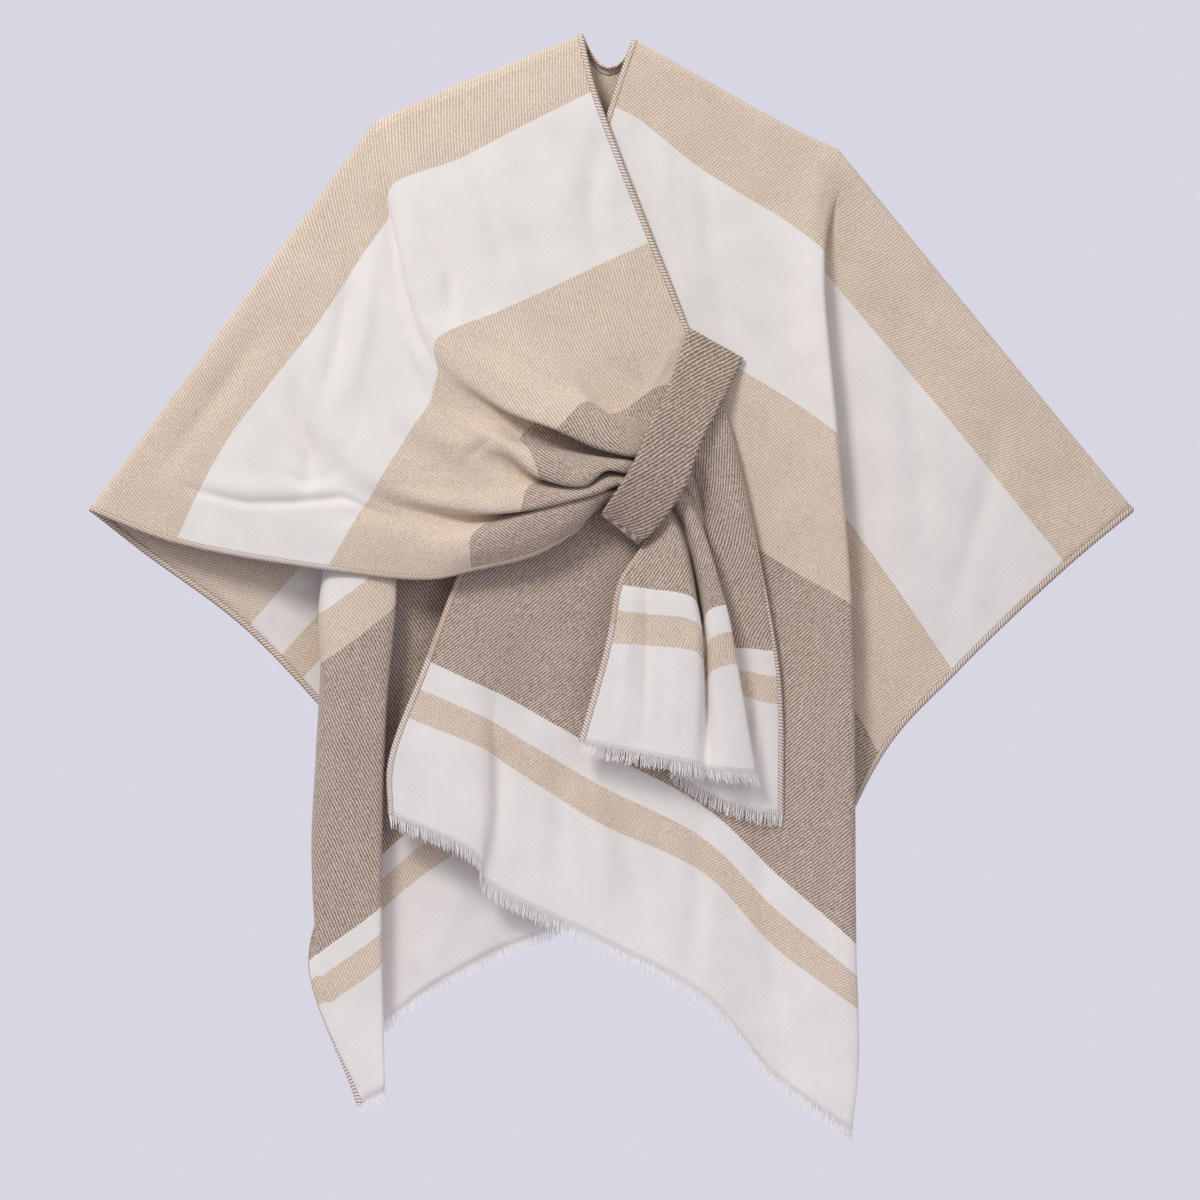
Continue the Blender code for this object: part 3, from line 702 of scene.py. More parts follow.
# the back, with a deep pleat at each side
back = {
    "solids": ("back_centre", "back_centre_shoulder", "back_left_low", "back_left_pleat", "back_left_wing",
               "back_left_wing_shoulder", "back_right_low", "back_right_pleat", "back_right_wing",
               "back_right_wing_shoulder"),
    "neckLine": ((588, 48), (594, 58), (600, 65), (608, 68), (617, 66), (624, 60), (629, 51)),
    "settleRows": 24,
    "seed": 3.0,
    "fringeSeed": 11,
    "fringeShare": 0.75,       # its threads' length beside the fronts'
    "lines": (0.0, 0.066, 0.180, 0.309, 0.359, 0.440, 0.530, 0.611, 0.761),
    "steps": (5, 3, 3, 1, 2, 2, 2, 4),
    "folds": (
        Fold("rightSideEdge", 4, (
            (90, 510, 14), (139, 549, 21), (242, 626, 29), (338, 727, 36), (375, 768, 38), (398, 818, 41),
            (338, 880, 33), (309, 959, 0), (359, 1104, -3))),
        Fold("rightDeep", 1, (
            (339, 171, 14), (364, 253, 28), (400, 440, 34), (412, 640, 41), (424, 705, 41), (431, 806, 38),
            (361, 887, 28), (313, 956, -1), (362, 1102, -3))),
        Fold("rightDeepTurn", 3, (
            (348, 159, 14), (367, 243, 23), (400, 433, 29), (412, 631, 32), (424, 696, 32), (428, 797, 33),
            (356, 883, 26), (316, 953, -2), (365, 1100, -4))),
        Fold("rightFoldBack", 2, (
            (357, 146, 14), (360, 231, 19), (352, 402, 24), (324, 601, 26), (326, 655, 26), (321, 752, 25),
            (316, 850, 20), (319, 951, -3), (368, 1098, -4))),
        Fold("rightFold", 3, (
            (366, 134, 14), (361, 222, 9), (352, 408, 8), (323, 608, -2), (325, 661, -4), (320, 757, -4),
            (315, 856, -4), (322, 948, -4), (371, 1096, -5))),
        Fold("rightRidge", 2, (
            (375, 122, 14), (377, 209, 6), (387, 373, 4), (394, 552, -6), (395, 606, -8), (386, 702, -8),
            (382, 806, -8), (380, 904, -8), (384, 1089, -7))),
        Fold("rightRidgeBack", 2, (
            (384, 118, 14), (381, 203, 10), (386, 368, 10), (393, 547, 2), (394, 601, 1), (385, 696, 1),
            (381, 800, 1), (379, 898, 1), (383, 1080, 1))),
        Fold("rightTuck", 1, (
            (394, 114, 14), (384, 197, 12), (366, 358, 12), (358, 531, 8), (357, 582, 7), (354, 672, 7),
            (354, 782, 7), (356, 884, 7), (364, 1048, 6))),
        Fold("rightTuckBack", 2, (
            (404, 110, 14), (388, 192, 15), (367, 353, 17), (359, 525, 15), (358, 576, 15), (355, 666, 15),
            (355, 776, 15), (357, 879, 15), (365, 1042, 14))),
        Fold("rightInner", 3, (
            (435, 96, 14), (424, 174, 17), (420, 325, 19), (425, 485, 19), (425, 535, 19), (418, 622, 19),
            (408, 733, 19), (405, 832, 19), (408, 1003, 17))),
        Fold("rightMiddle", 3, (
            (490, 72, 14), (493, 142, 19), (500, 283, 21), (500, 430, 23), (500, 485, 23), (490, 580, 23),
            (478, 690, 23), (465, 790, 22), (480, 960, 20))),
        Fold("rightNeck", 1, (
            (582, 35, 14), (579, 104, 18), (572, 249, 22), (570, 388, 25), (572, 440, 25), (573, 530, 25),
            (570, 640, 24), (562, 742, 22), (570, 921, 21))),
        Fold("rightNeckTurn", 1, (
            (594, 57, 14), (593, 111, 18), (590, 242, 22), (589, 380, 26), (590, 433, 26), (592, 521, 26),
            (594, 626, 25), (591, 728, 24), (598, 907, 22))),
        Fold("neck", 1, (
            (608, 68, 14), (608, 118, 18), (608, 236, 22), (608, 372, 26), (608, 426, 26), (612, 512, 26),
            (618, 612, 25), (622, 714, 24), (626, 893, 23))),
        Fold("leftNeckTurn", 1, (
            (623, 62, 14), (622, 113, 18), (626, 243, 22), (628, 379, 26), (629, 433, 26), (633, 519, 26),
            (641, 618, 26), (647, 721, 25), (653, 898, 24))),
        Fold("leftNeck", 3, (
            (633, 40, 14), (637, 107, 18), (645, 250, 22), (648, 386, 26), (650, 440, 26), (655, 525, 26),
            (664, 624, 26), (672, 728, 26), (680, 903, 25))),
        Fold("leftMiddle", 3, (
            (735, 95, 14), (731, 161, 19), (722, 292, 23), (728, 430, 27), (730, 482, 27), (738, 572, 27),
            (750, 680, 27), (760, 790, 27), (765, 960, 25))),
        Fold("leftTuckBack", 1, (
            (816, 138, 14), (829, 209, 18), (851, 353, 23), (858, 521, 28), (858, 572, 28), (848, 664, 28),
            (824, 772, 28), (808, 872, 27), (808, 1008, 25))),
        Fold("leftTuck", 2, (
            (824, 143, 14), (833, 215, 15), (852, 358, 18), (859, 527, 21), (859, 578, 21), (849, 670, 21),
            (825, 778, 21), (809, 878, 20), (809, 1014, 18))),
        Fold("leftRidgeBack", 2, (
            (832, 147, 14), (832, 221, 12), (828, 368, 15), (822, 547, 16), (820, 601, 16), (812, 696, 16),
            (795, 795, 16), (783, 884, 15), (789, 1035, 15))),
        Fold("leftRidge", 3, (
            (840, 153, 14), (836, 227, 9), (827, 373, 11), (821, 552, 11), (819, 606, 11), (811, 702, 10),
            (794, 801, 10), (782, 890, 10), (787, 1045, 8))),
        Fold("leftFold", 2, (
            (848, 163, 14), (853, 240, 12), (864, 408, 15), (872, 608, 15), (867, 661, 15), (848, 757, 15),
            (840, 850, 14), (832, 925, 13), (824, 1062, 10))),
        Fold("leftFoldBack", 3, (
            (856, 172, 14), (854, 250, 22), (864, 402, 31), (871, 601, 38), (866, 655, 39), (847, 752, 38),
            (841, 845, 33), (837, 930, 16), (827, 1065, 13))),
        Fold("leftDeepTurn", 1, (
            (865, 183, 14), (848, 262, 26), (818, 433, 37), (806, 631, 45), (792, 696, 46), (790, 797, 45),
            (829, 872, 37), (840, 936, 18), (829, 1068, 14))),
        Fold("leftDeep", 4, (
            (875, 195, 14), (852, 271, 32), (818, 440, 43), (806, 640, 52), (792, 705, 54), (786, 806, 50),
            (824, 877, 39), (843, 941, 19), (831, 1071, 15))),
        Fold("leftSideEdge", 0, (
            (1133, 510, 14), (1082, 549, 22), (974, 626, 33), (878, 727, 45), (841, 768, 50), (818, 818, 53),
            (846, 872, 43), (846, 946, 20), (833, 1074, 16))),
    ),
    "creases": (
        Crease(3.3, 16, ((470, 860), (440, 930), (418, 1000))),
        Crease(-2.7, 12, ((520, 900), (500, 950), (470, 985))),
        Crease(2.4, 10, ((352, 660), (345, 760), (340, 840))),
        Crease(4.2, 14, ((640, 200), (652, 420), (640, 640), (650, 860))),
        Crease(4.2, 13, ((540, 180), (522, 400), (530, 600), (510, 820))),
        Crease(-3.6, 12, ((700, 300), (712, 500), (700, 700))),
        Crease(3.9, 11, ((160, 500), (230, 560), (300, 640))),
        Crease(3.9, 12, ((1060, 520), (960, 590), (880, 680))),
    ),
}


def settleTop(rows):
    # the back's fold follows the fronts' shoulder lines, and hangs in a round curve between the neck points
    marks = [fold.places[0] for fold in reversed(frontRight["folds"])]
    marks += [(right, down, 0) for right, down in back["neckLine"]]
    marks += [fold.places[0] for fold in frontLeft["folds"]]
    spots = [place(mark) for mark in marks]
    heights = numpy.interp([point.x for point in rows[0]], [spot.x for spot in spots],
                           [spot.z for spot in spots])
    drops = [point.z - height for point, height in zip(rows[0], heights)]
    for index in range(back["settleRows"]):
        for point, drop in zip(rows[index], drops):
            point.z -= drop * (1 - index / back["settleRows"])


def makeBack():
    folds = back["folds"]
    rows, down = hangCloth(folds, back["steps"], back["lines"], -1, back["seed"], settleTop)
    pressCreases(rows, back["creases"], -1)
    # behind, the cloth's length runs down the other way, so the same threads lean the other way
    threads = straightThreads(rows, down, 180 - twill["lean"], foldColumn(folds, "neck"))
    piece = layCloth("backCloth", rows, threads, down, backTwill, back["solids"])
    edges = sewSides(("sewingBackRight", "sewingBackLeft"), rows, down, 1, backEdgeYarn)
    neck = slice(foldColumn(folds, "rightNeck"), foldColumn(folds, "leftNeck") + 1)
    edges.append(sewEdge("sewingBackNeck", rows[1][neck], rows[3][neck], [0.0, 0.0], backEdgeYarn))
    edges.append(hangFringe("fringeBack", rows, back["fringeSeed"], ("fringe_back",), back["fringeShare"]))
    print("back made")


# the left front, which hangs free, with its outer part folded under at the side
frontLeft = {
    "solids": ("front_left", "front_left_low", "front_left_pleat", "front_left_shoulder", "front_left_wing",
               "front_left_wing_shoulder"),
    "seed": 7.0,
    "fringeSeed": 23,
    "lines": (0.0, 0.073, 0.213, 0.359, 0.611, 0.715, 0.761),
    "steps": (6, 4, 4, 6, 3, 2),
    "folds": (
        Fold("centreEdge", 3, (
            (633, 40, 0), (611, 105, -2), (568, 251, -2), (521, 402, -2), (428, 657, -8), (390, 762, -13),
            (390, 812, -14))),
        Fold("smallPleat", 1, (
            (655, 52, 0), (638, 118, -2), (606, 277, -2), (571, 434, -2), (490, 686, -6), (486, 800, -14),
            (479, 855, -16))),
        Fold("underPleat", 3, (
            (662, 56, 0), (647, 125, -2), (618, 285, -2), (583, 441, -2), (500, 690, -4), (497, 812, -6),
            (486, 879, -7))),
        Fold("middle", 3, (
            (700, 77, 0), (690, 160, -2), (668, 319, -2), (650, 482, -2), (600, 746, -2), (597, 880, -5),
            (600, 937, -7))),
        Fold("hip", 3, (
            (745, 103, 0), (735, 190, -3), (741, 368, -2), (735, 534, -2), (706, 804, -4), (704, 928, -10),
            (707, 995, -12))),
        Fold("hipBack", 3, (
            (795, 130, 0), (785, 220, -5), (793, 400, -5), (795, 572, -6), (775, 868, -8), (775, 1008, -6),
            (775, 1073, -4))),
        Fold("ridge", 2, (
            (838, 150, 0), (822, 250, -13), (834, 431, -20), (848, 603, -22), (853, 938, -22),
            (856, 1060, -20), (850, 1125, -18))),
        Fold("ridgeBack", 3, (
            (846, 160, 0), (823, 254, -7), (835, 435, -11), (848, 607, -12), (852, 942, -12),
            (854, 1060, -10), (848, 1121, -9))),
        Fold("inner", 2, (
            (853, 168, 0), (813, 256, -3), (803, 452, -4), (810, 628, -4), (813, 956, -5), (832, 1052, -4),
            (832, 1108, -4))),
        Fold("innerBack", 4, (
            (860, 177, 0), (815, 259, 1), (805, 457, 3), (811, 634, 3), (808, 960, -1), (824, 1048, -2),
            (824, 1102, -2))),
        Fold("wing", 4, (
            (990, 336, 0), (948, 418, -3), (899, 590, -2), (862, 722, 0), (803, 966, 1), (810, 1044, 0),
            (812, 1092, 0))),
        Fold("sideEdge", 0, (
            (1133, 510, 0), (1067, 565, -2), (955, 672, 0), (880, 757, 2), (798, 968, 2), (798, 1040, 2),
            (800, 1082, 2))),
    ),
    "creases": (
        Crease(3.1, 8, ((838, 158), (828, 200), (822, 260))),
        Crease(3.6, 11, ((700, 150), (712, 260), (735, 360))),
        Crease(-2.5, 10, ((660, 130), (668, 220), (690, 320))),
        Crease(3.9, 12, ((900, 300), (915, 420), (925, 540))),
        Crease(3.1, 10, ((1000, 400), (985, 500), (950, 610))),
        Crease(5.8, 9, ((486, 690), (500, 760), (497, 862))),
        Crease(4.7, 9, ((555, 735), (562, 810), (553, 892))),
        Crease(4.0, 9, ((622, 825), (636, 885), (646, 946))),
        Crease(-4.3, 10, ((590, 760), (604, 840), (606, 915))),
        Crease(4.7, 10, ((700, 825), (698, 900), (688, 972))),
        Crease(5.0, 10, ((760, 800), (765, 920), (790, 1060))),
        Crease(4.0, 9, ((820, 640), (826, 800), (828, 980))),
    ),
}


def makeFrontLeft():
    rows, down = hangCloth(frontLeft["folds"], frontLeft["steps"], frontLeft["lines"], 1, frontLeft["seed"])
    pressCreases(rows, frontLeft["creases"], 1)
    threads = straightThreads(rows, down, twill["lean"])
    piece = layCloth("frontLeftCloth", rows, threads, down, frontTwill, frontLeft["solids"])
    edges = sewSides(("sewingLeftCentre", "sewingLeftSide"), rows, down, 1, frontEdgeYarn)
    edges.append(hangFringe("fringeFrontLeft", rows, frontLeft["fringeSeed"], ("fringe_front_left",)))
    print("left front made")


# the right front: the drape above the keeper and the tail below it are one cloth
frontRight = {
    "solids": ("front_right", "front_right_shoulder"),
    "seed": 13.0,
    "shownLength": 0.39,
    "shownArea": 0.22,
    "steps": (6, 7, 5, 2, 2, 2, 2),
    "passSteps": 2,            # from the keeper's near edge to its middle
    "pass": 0.070,             # cloth hidden under the keeper
    # places on the shoulder, the first and second stripe ends, before the gathers, on the third stripe end,
    # twice within the gathers and on the keeper's near edge; then, in the tail, on its far edge, on the taupe
    # stripe's end, the last beige stripe's end and the hem
    "folds": (
        Fold("centreEdge", 3, (
            (582, 35, 0), (595, 90, -7), (652, 240, -7), (673, 292, -7), (682, 315, -7), (685, 323, -7),
            (688, 330, -7), (690, 336, -7), (722, 405, -9), (775, 647, -12), (781, 704, -12),
            (782, 812, -11))),
        Fold("smooth", 3, (
            (545, 50, 0), (555, 110, -8), (600, 264, -10), (636, 334, -12), (652, 366, -13), (659, 374, -14),
            (664, 380, -14), (669, 386, -15), (716, 418, -14), (766, 647, -15), (772, 703, -15),
            (765, 811, -13))),
        Fold("notch", 3, (
            (508, 65, 0), (510, 133, -9), (545, 290, -13), (590, 374, -17), (611, 415, -18), (626, 420, -20),
            (640, 424, -22), (652, 426, -24), (709, 432, -18), (757, 646, -16), (762, 701, -16),
            (745, 806, -14))),
        Fold("peak", 4, (
            (460, 84, 0), (460, 159, -10), (495, 313, -18), (556, 376, -29), (586, 403, -36), (610, 420, -39),
            (628, 431, -40), (644, 439, -39), (703, 446, -21), (748, 645, -14), (752, 698, -13),
            (727, 800, -12))),
        Fold("lip", 2, (
            (375, 122, 0), (391, 188, -11), (436, 341, -24), (504, 409, -39), (556, 430, -48),
            (597, 448, -49), (618, 454, -48), (636, 457, -46), (698, 458, -23), (738, 645, -13),
            (741, 695, -12), (708, 791, -11))),
        Fold("cavity", 2, (
            (362, 140, 0), (389, 216, -8), (438, 372, -21), (503, 411, -24), (541, 421, -20), (584, 440, -15),
            (608, 449, -17), (632, 458, -26), (694, 468, -18), (722, 643, -12), (722, 692, -11),
            (690, 780, -10))),
        Fold("rim", 2, (
            (355, 150, 0), (383, 226, -8), (434, 388, -20), (499, 425, -24), (520, 439, -24), (572, 451, -22),
            (603, 457, -24), (632, 461, -30), (692, 472, -17), (712, 642, -12), (709, 690, -11),
            (681, 773, -10))),
        Fold("secondTop", 2, (
            (348, 159, 0), (375, 238, -8), (430, 402, -18), (500, 441, -38), (530, 452, -42), (575, 458, -42),
            (605, 461, -42), (632, 464, -42), (691, 477, -15), (702, 640, -12), (697, 688, -11),
            (673, 766, -10))),
        Fold("secondLip", 2, (
            (330, 183, 0), (358, 262, -8), (414, 425, -19), (505, 452, -39), (540, 477, -43), (583, 486, -46),
            (606, 471, -45), (628, 474, -42), (687, 486, -21), (702, 636, -20), (697, 684, -19),
            (674, 764, -18))),
        Fold("hole", 2, (
            (310, 210, 0), (340, 290, -7), (403, 442, -16), (503, 460, -32), (541, 480, -22), (583, 480, -15),
            (607, 467, -11), (627, 472, -18), (684, 492, -20), (720, 608, -23), (731, 668, -22),
            (750, 774, -21))),
        Fold("thirdTop", 2, (
            (285, 244, 0), (313, 330, -7), (392, 459, -17), (484, 476, -28), (527, 490, -37), (584, 490, -41),
            (606, 482, -42), (624, 481, -40), (680, 498, -31), (723, 602, -34), (735, 663, -33),
            (754, 772, -31))),
        Fold("thirdLip", 2, (
            (255, 285, 0), (283, 367, -6), (379, 480, -19), (470, 511, -31), (521, 511, -41), (575, 500, -43),
            (600, 493, -43), (620, 486, -41), (676, 503, -31), (708, 607, -35), (713, 669, -35),
            (722, 768, -37))),
        Fold("crease", 2, (
            (225, 326, 0), (254, 404, -5), (369, 497, -13), (468, 516, -16), (516, 509, -14), (572, 497, -15),
            (599, 491, -17), (619, 487, -24), (672, 509, -17), (701, 628, -14), (705, 682, -18),
            (706, 766, -29))),
        Fold("fourthTop", 4, (
            (190, 374, 0), (231, 434, -5), (360, 511, -16), (436, 541, -25), (472, 537, -34), (545, 511, -38),
            (588, 500, -38), (615, 494, -37), (666, 516, -31), (691, 595, -38), (697, 653, -37),
            (692, 762, -36))),
        Fold("fourthFace", 4, (
            (140, 442, 0), (201, 487, -4), (343, 540, -16), (432, 558, -25), (471, 553, -34), (540, 535, -37),
            (582, 516, -36), (611, 500, -32), (656, 524, -26), (646, 586, -29), (647, 645, -29),
            (640, 752, -30))),
        Fold("sideEdge", 0, (
            (90, 510, 0), (175, 542, -3), (326, 569, -13), (430, 579, -20), (472, 571, -24), (534, 556, -27),
            (573, 534, -26), (607, 504, -21), (645, 533, -16), (619, 582, -25), (607, 643, -26),
            (580, 740, -26))),
    ),
    # how far down the cloth the lines above the keeper lie, which differs from fold to fold in the gathers
    "lines": (
        0.0, 0.073, 0.213,
        (0.275, 0.312, 0.316, 0.322, 0.308, 0.323, 0.335, 0.330, 0.325, 0.322, 0.317, 0.312, 0.315, 0.325,
         0.323, 0.319),
        (0.298, 0.345) + (0.359,) * 14,
        (0.306, 0.350, 0.374, 0.387, 0.401, 0.403, 0.408, 0.401, 0.400, 0.398, 0.412, 0.410, 0.411, 0.431,
         0.425, 0.418),
        (0.312, 0.355, 0.387, 0.405, 0.421, 0.426, 0.437, 0.429, 0.426, 0.424, 0.434, 0.434, 0.437, 0.472,
         0.468, 0.460),
        (0.318, 0.359, 0.400, 0.420, 0.438, 0.450, 0.464, 0.455, 0.447, 0.443, 0.451, 0.453, 0.456, 0.499,
         0.498, 0.501),
    ),
    "threadRuns": (
        (545, 80, 86), (481, 111, 87), (411, 134, 90), (363, 165, 98), (348, 213, 104), (290, 290, 112),
        (240, 370, 120), (140, 510, 130), (560, 180, 90), (620, 260, 93), (590, 290, 96), (640, 330, 95),
        (530, 320, 98), (484, 361, 110), (430, 300, 104), (400, 250, 105), (528, 378, 122), (452, 440, 122),
        (380, 420, 120), (320, 450, 124), (250, 500, 130), (497, 470, 125), (460, 485, 130), (380, 546, 142),
        (490, 507, 128), (440, 560, 148), (587, 425, 115), (632, 414, 98), (640, 440, 112), (565, 447, 135),
        (557, 465, 165), (610, 464, 168), (565, 492, 143), (610, 488, 150), (535, 530, 155), (480, 545, 153),
        (590, 510, 152),
    ),
    "creases": (
        Crease(4.8, 8, ((384, 150), (392, 213), (397, 271), (412, 328), (436, 362))),
        Crease(4.2, 7, ((418, 205), (430, 232), (450, 271), (453, 322))),
        Crease(-2.2, 7, ((455, 325), (480, 362), (520, 388), (572, 412))),
        Crease(2.2, 7, ((474, 334), (515, 362), (560, 388), (590, 402))),
        Crease(1.8, 5, ((606, 362), (624, 374), (646, 394))),
        Crease(2.6, 5, ((470, 460), (478, 451), (494, 439))),
        Crease(2.0, 9, ((436, 380), (452, 420), (480, 450), (520, 476))),
        Crease(-1.8, 9, ((425, 395), (440, 435), (470, 465), (510, 484))),
        Crease(2.6, 8, ((392, 484), (430, 489), (480, 492), (520, 493))),
        Crease(3.2, 4, ((172, 480), (200, 492), (245, 503), (290, 503), (345, 498), (368, 509), (412, 524))),
        Crease(-2.2, 11, ((185, 475), (245, 491), (290, 491), (345, 486), (375, 498))),
        Crease(5.2, 7, ((310, 488), (311, 450), (300, 420), (297, 380))),
        Crease(2.0, 6, ((286, 474), (306, 484), (330, 478))),
        Crease(1.8, 7, ((340, 520), (372, 512), (405, 528))),
        Crease(1.4, 10, ((345, 480), (352, 440), (350, 395))),
        Crease(3.8, 9, ((262, 330), (215, 400), (165, 470))),
        Crease(4.2, 8, ((352, 262), (342, 330), (322, 408))),
        Crease(-3.2, 8, ((372, 250), (366, 330), (350, 400))),
        Crease(3.2, 11, ((600, 130), (590, 200), (600, 260))),
        Crease(2.8, 8, ((470, 165), (492, 220), (505, 275))),
    ),
}
tail = {
    "solids": ("front_right_tail",),
    "fringeSeed": 37,
    "shownFlat": (0.330, 0.280),
    "shownArea": 0.075,
    "startShare": 0.12,        # share of a grid step that keeps the tail's start clear of the drape's end
    "steps": (5, 3, 4),
    "lines": (0.611, 0.664, 0.761),
    "threadRuns": (
        (714, 471, 90), (724, 430, 90), (740, 530, 80), (736, 578, 58), (760, 610, 45), (765, 570, 60),
        (778, 700, 45), (693, 514, 76), (700, 557, 84), (718, 646, 93), (735, 720, 93), (657, 557, 47),
        (640, 580, 45), (664, 620, 39), (650, 700, 42),
    ),
    "creases": (
        Crease(3.0, 5, ((646, 548), (647, 640), (643, 742))),
        Crease(-2.6, 7, ((632, 570), (628, 650), (622, 730))),
        Crease(-2.2, 8, ((668, 570), (674, 660), (670, 750))),
        Crease(1.4, 6, ((672, 640), (664, 700), (660, 760))),
        Crease(1.2, 6, ((735, 500), (752, 580), (760, 640))),
        Crease(1.2, 5, ((760, 660), (764, 730), (758, 800))),
    ),
}


def makeFrontRight():
    passSteps, aboveLines = frontRight["passSteps"], frontRight["lines"]
    steps = frontRight["steps"] + (2 * passSteps,) + tail["steps"]
    farLine = tuple(down + frontRight["pass"] for down in aboveLines[-1])
    lines = aboveLines + (farLine,) + tail["lines"]
    rows, down = hangCloth(frontRight["folds"], steps, lines, 1, frontRight["seed"])
    seam = (sum(frontRight["steps"]) + passSteps) * cloth["fineness"]
    drape, fall = rows[:seam + 1], [list(row) for row in rows[seam:]]
    fall[0] = [start.lerp(end, tail["startShare"]) for start, end in zip(rows[seam], rows[seam + 1])]
    pressCreases(drape, frontRight["creases"], 1)
    pressCreases(fall, tail["creases"], 1)
    threads = drapedThreads(drape, frontRight["threadRuns"])
    piece = layCloth("frontRightCloth", drape, threads, down, frontTwill, frontRight["solids"])
    edges = sewSides(("sewingRightCentre", "sewingRightSide"), drape, down[:seam + 1], 1, frontEdgeYarn)

    threads = drapedThreads(fall, tail["threadRuns"])
    piece = layCloth("tailCloth", fall, threads, down[seam:], frontTwill, tail["solids"])
    edges = sewSides(("sewingTailCentre", "sewingTailSide"), fall, down[seam:], 0, frontEdgeYarn)
    edges.append(hangFringe("fringeTail", fall, tail["fringeSeed"], ("fringe_tail",)))
    print("right front and its tail made")


# the keeper strap that the right front is drawn through
keeper = {
    "wall": 0.0026,
    "footWall": 0.0006,
    "footWide": 0.0065,
    "footPlace": 8,            # the place along the folds where the strap turns under
    # across the foot, from the strap's end: the share of its width, and its height over the strap's middle
    "footProfile": ((-0.08, 0.0), (-0.06, 0.0017), (0.1, 0.0024), (0.28, 0.0024), (0.34, 0.0016),
                    (0.4, 0.0023), (0.72, 0.0023), (0.78, 0.0015), (0.84, 0.0022), (1.0, 0.0012)),
    "steps": (1, 1, 1, 2, 2, 1, 1, 1, 1, 1),
    "folds": (
        Fold("leftEdge", 3, (
            (691, 330, -11), (685, 341, -13), (676, 366, -20), (667, 391, -28), (651, 423, -45),
            (635, 461, -55), (620, 487, -53), (607, 506, -43), (602, 513, -30), (603, 514, -14),
            (608, 509, -5))),
        Fold("rightEdge", 0, (
            (743, 359, -5), (737, 371, -7), (728, 390, -12), (719, 407, -18), (699, 448, -33),
            (685, 486, -42), (671, 509, -40), (651, 534, -32), (639, 543, -24), (640, 544, -12),
            (645, 539, -5))),
    ),
}


def makeFoot(rows):
    # the narrow hem that sews the strap's lower end down, with two lines of stitches along it
    end = sum(keeper["steps"][:keeper["footPlace"]]) * cloth["fineness"]
    last, before = rows[end], rows[end - cloth["fineness"]]
    across = (last[-1] - last[0]).normalized()
    hem = []
    for low, high in zip(last, before):
        upward = (high - low).normalized()
        outward = across.cross(upward).normalized()
        if outward.y > 0:
            outward.negate()
        hem.append([low + upward * keeper["footWide"] * share + outward * lift
                    for share, lift in keeper["footProfile"]])
    bm = surfaceFromRows(hem)
    layWeave(bm, lambda column, row: (row * millimetre, column * millimetre))
    finishPiece("keeperFoot", bm, keeperTwill, keeper["footWall"])


def makeKeeper():
    rows = clothRows(keeper["folds"], evenShares(keeper["steps"]))
    lengths = lengthsAlong([row[0] for row in rows])
    wide = lengthsAlong(rows[0])
    lean = math.radians(strapTwill["lean"])
    bm = surfaceFromRows(rows)
    layWeave(bm, lambda column, row: (wide[column] * math.sin(lean) + lengths[row] * math.cos(lean),
                                      lengths[row]))
    piece = finishPiece("keeperStrap", bm, keeperTwill, keeper["wall"], ("keeper",))
    makeFoot(rows)
    print("keeper made")


# stage, light and camera
studio = {
    "backdrop": "#D8D6E2",
    # the room is as pale as the backdrop behind and overhead, darker in front and towards the ground: the
    # range of directions, and the strength at both ends of it
    "groundRange": (-0.55, -0.14, 0.15, 1.0),
    "frontRange": (-0.6, 0.2, 0.6, 1.0),
    # power, size, and place from the picture's centre
    "keyLight": (47, 0.9, (-1.2, -1.9, 1.9)),
    "fillLight": (8, 1.6, (1.6, -2.2, 0.3)),
    "backLight": (6, 1.4, (0.8, 2.2, 1.2)),
    "floorSurface": {"Base Color": colour("#DCD9E2"), "Roughness": 0.8},
    "floorDrop": 0.2,          # below the lowest thread
    "floorRadius": 0.85,
    "floorSegments": 96,
    "cameraDistance": 4.5,
    "clipEnd": 50,
    "frameSize": 1200,         # plan steps across the picture
    "frameCentre": (600, 600, 7),
}


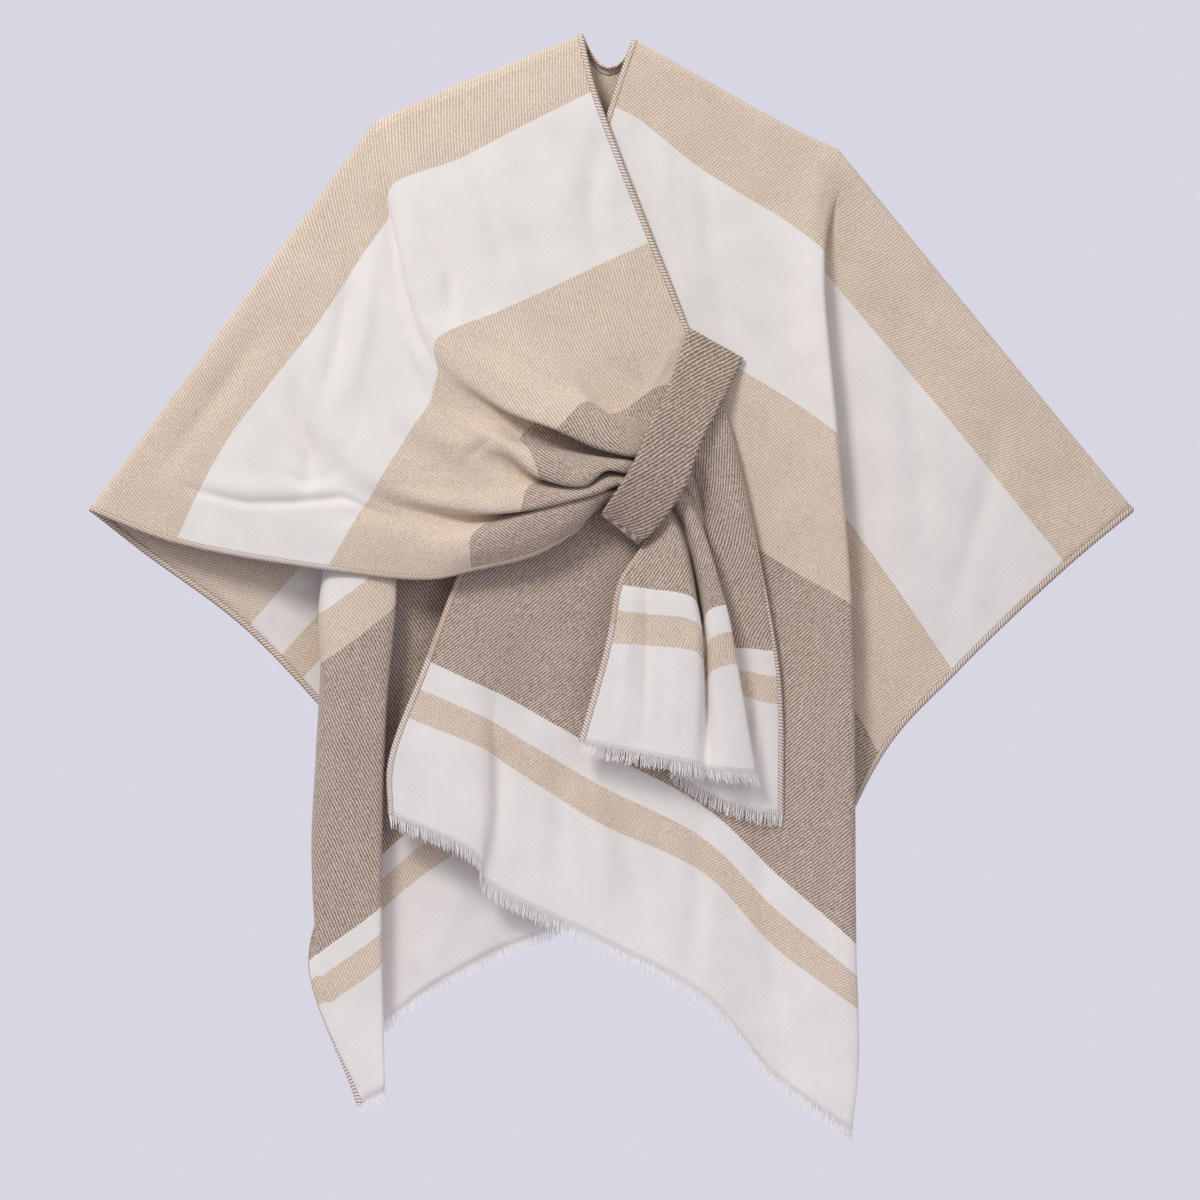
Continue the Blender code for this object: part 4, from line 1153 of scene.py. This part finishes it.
def addSoftLight(name, centre):
    power, size, position = studio[name]
    lamp = bpy.data.lights.new(name, "AREA")
    lamp.energy = power
    lamp.shape = "DISK"
    lamp.size = size
    holder = addObject(name, lamp)
    holder.location = centre + Vector(position)
    holder.rotation_euler = (centre - holder.location).to_track_quat("-Z", "Y").to_euler()


def layFloor(centre):
    low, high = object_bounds()
    bm = bmesh.new()
    bmesh.ops.create_circle(bm, cap_ends=True, segments=studio["floorSegments"], radius=studio["floorRadius"])
    bmesh.ops.translate(bm, verts=bm.verts, vec=(centre.x, 0, low[2] - studio["floorDrop"]))
    mesh = bpy.data.meshes.new("floor")
    bm.to_mesh(mesh)
    bm.free()
    floor = addObject("floor", mesh)
    paint, *_ = startMaterial("paleFloor", studio["floorSurface"])
    mesh.materials.append(paint)
    floor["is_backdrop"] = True


def lightRoom():
    world = bpy.data.worlds.new("studio")
    bpy.context.scene.world = world
    world.use_nodes = True
    tree = world.node_tree
    background = tree.nodes["Background"]
    background.inputs["Color"].default_value = colour(studio["backdrop"])
    direction = parted(tree, addNode(tree, "ShaderNodeTexCoord").outputs["Generated"])
    strength = reckon(tree, "MULTIPLY", mapped(tree, direction["Z"], *studio["groundRange"]),
                      mapped(tree, direction["Y"], *studio["frontRange"]))
    tree.links.new(strength, background.inputs["Strength"])


def setStudio():
    # plain colours, without a film curve over them
    bpy.context.scene.view_settings.view_transform = "Standard"
    centre = place(studio["frameCentre"])
    layFloor(centre)
    lightRoom()
    for name in ("keyLight", "fillLight", "backLight"):
        addSoftLight(name, centre)
    camera = bpy.data.cameras.new("camera")
    holder = addObject("camera", camera)
    holder.location = centre + Vector((0, -studio["cameraDistance"], 0))
    holder.rotation_euler = (math.pi / 2, 0, 0)
    camera.lens = camera.sensor_width * studio["cameraDistance"] / (studio["frameSize"] * plan["step"])
    camera.clip_end = studio["clipEnd"]
    bpy.context.scene.camera = holder
    print("studio set")


makeBack()
makeFrontLeft()
makeFrontRight()
makeKeeper()
setStudio()
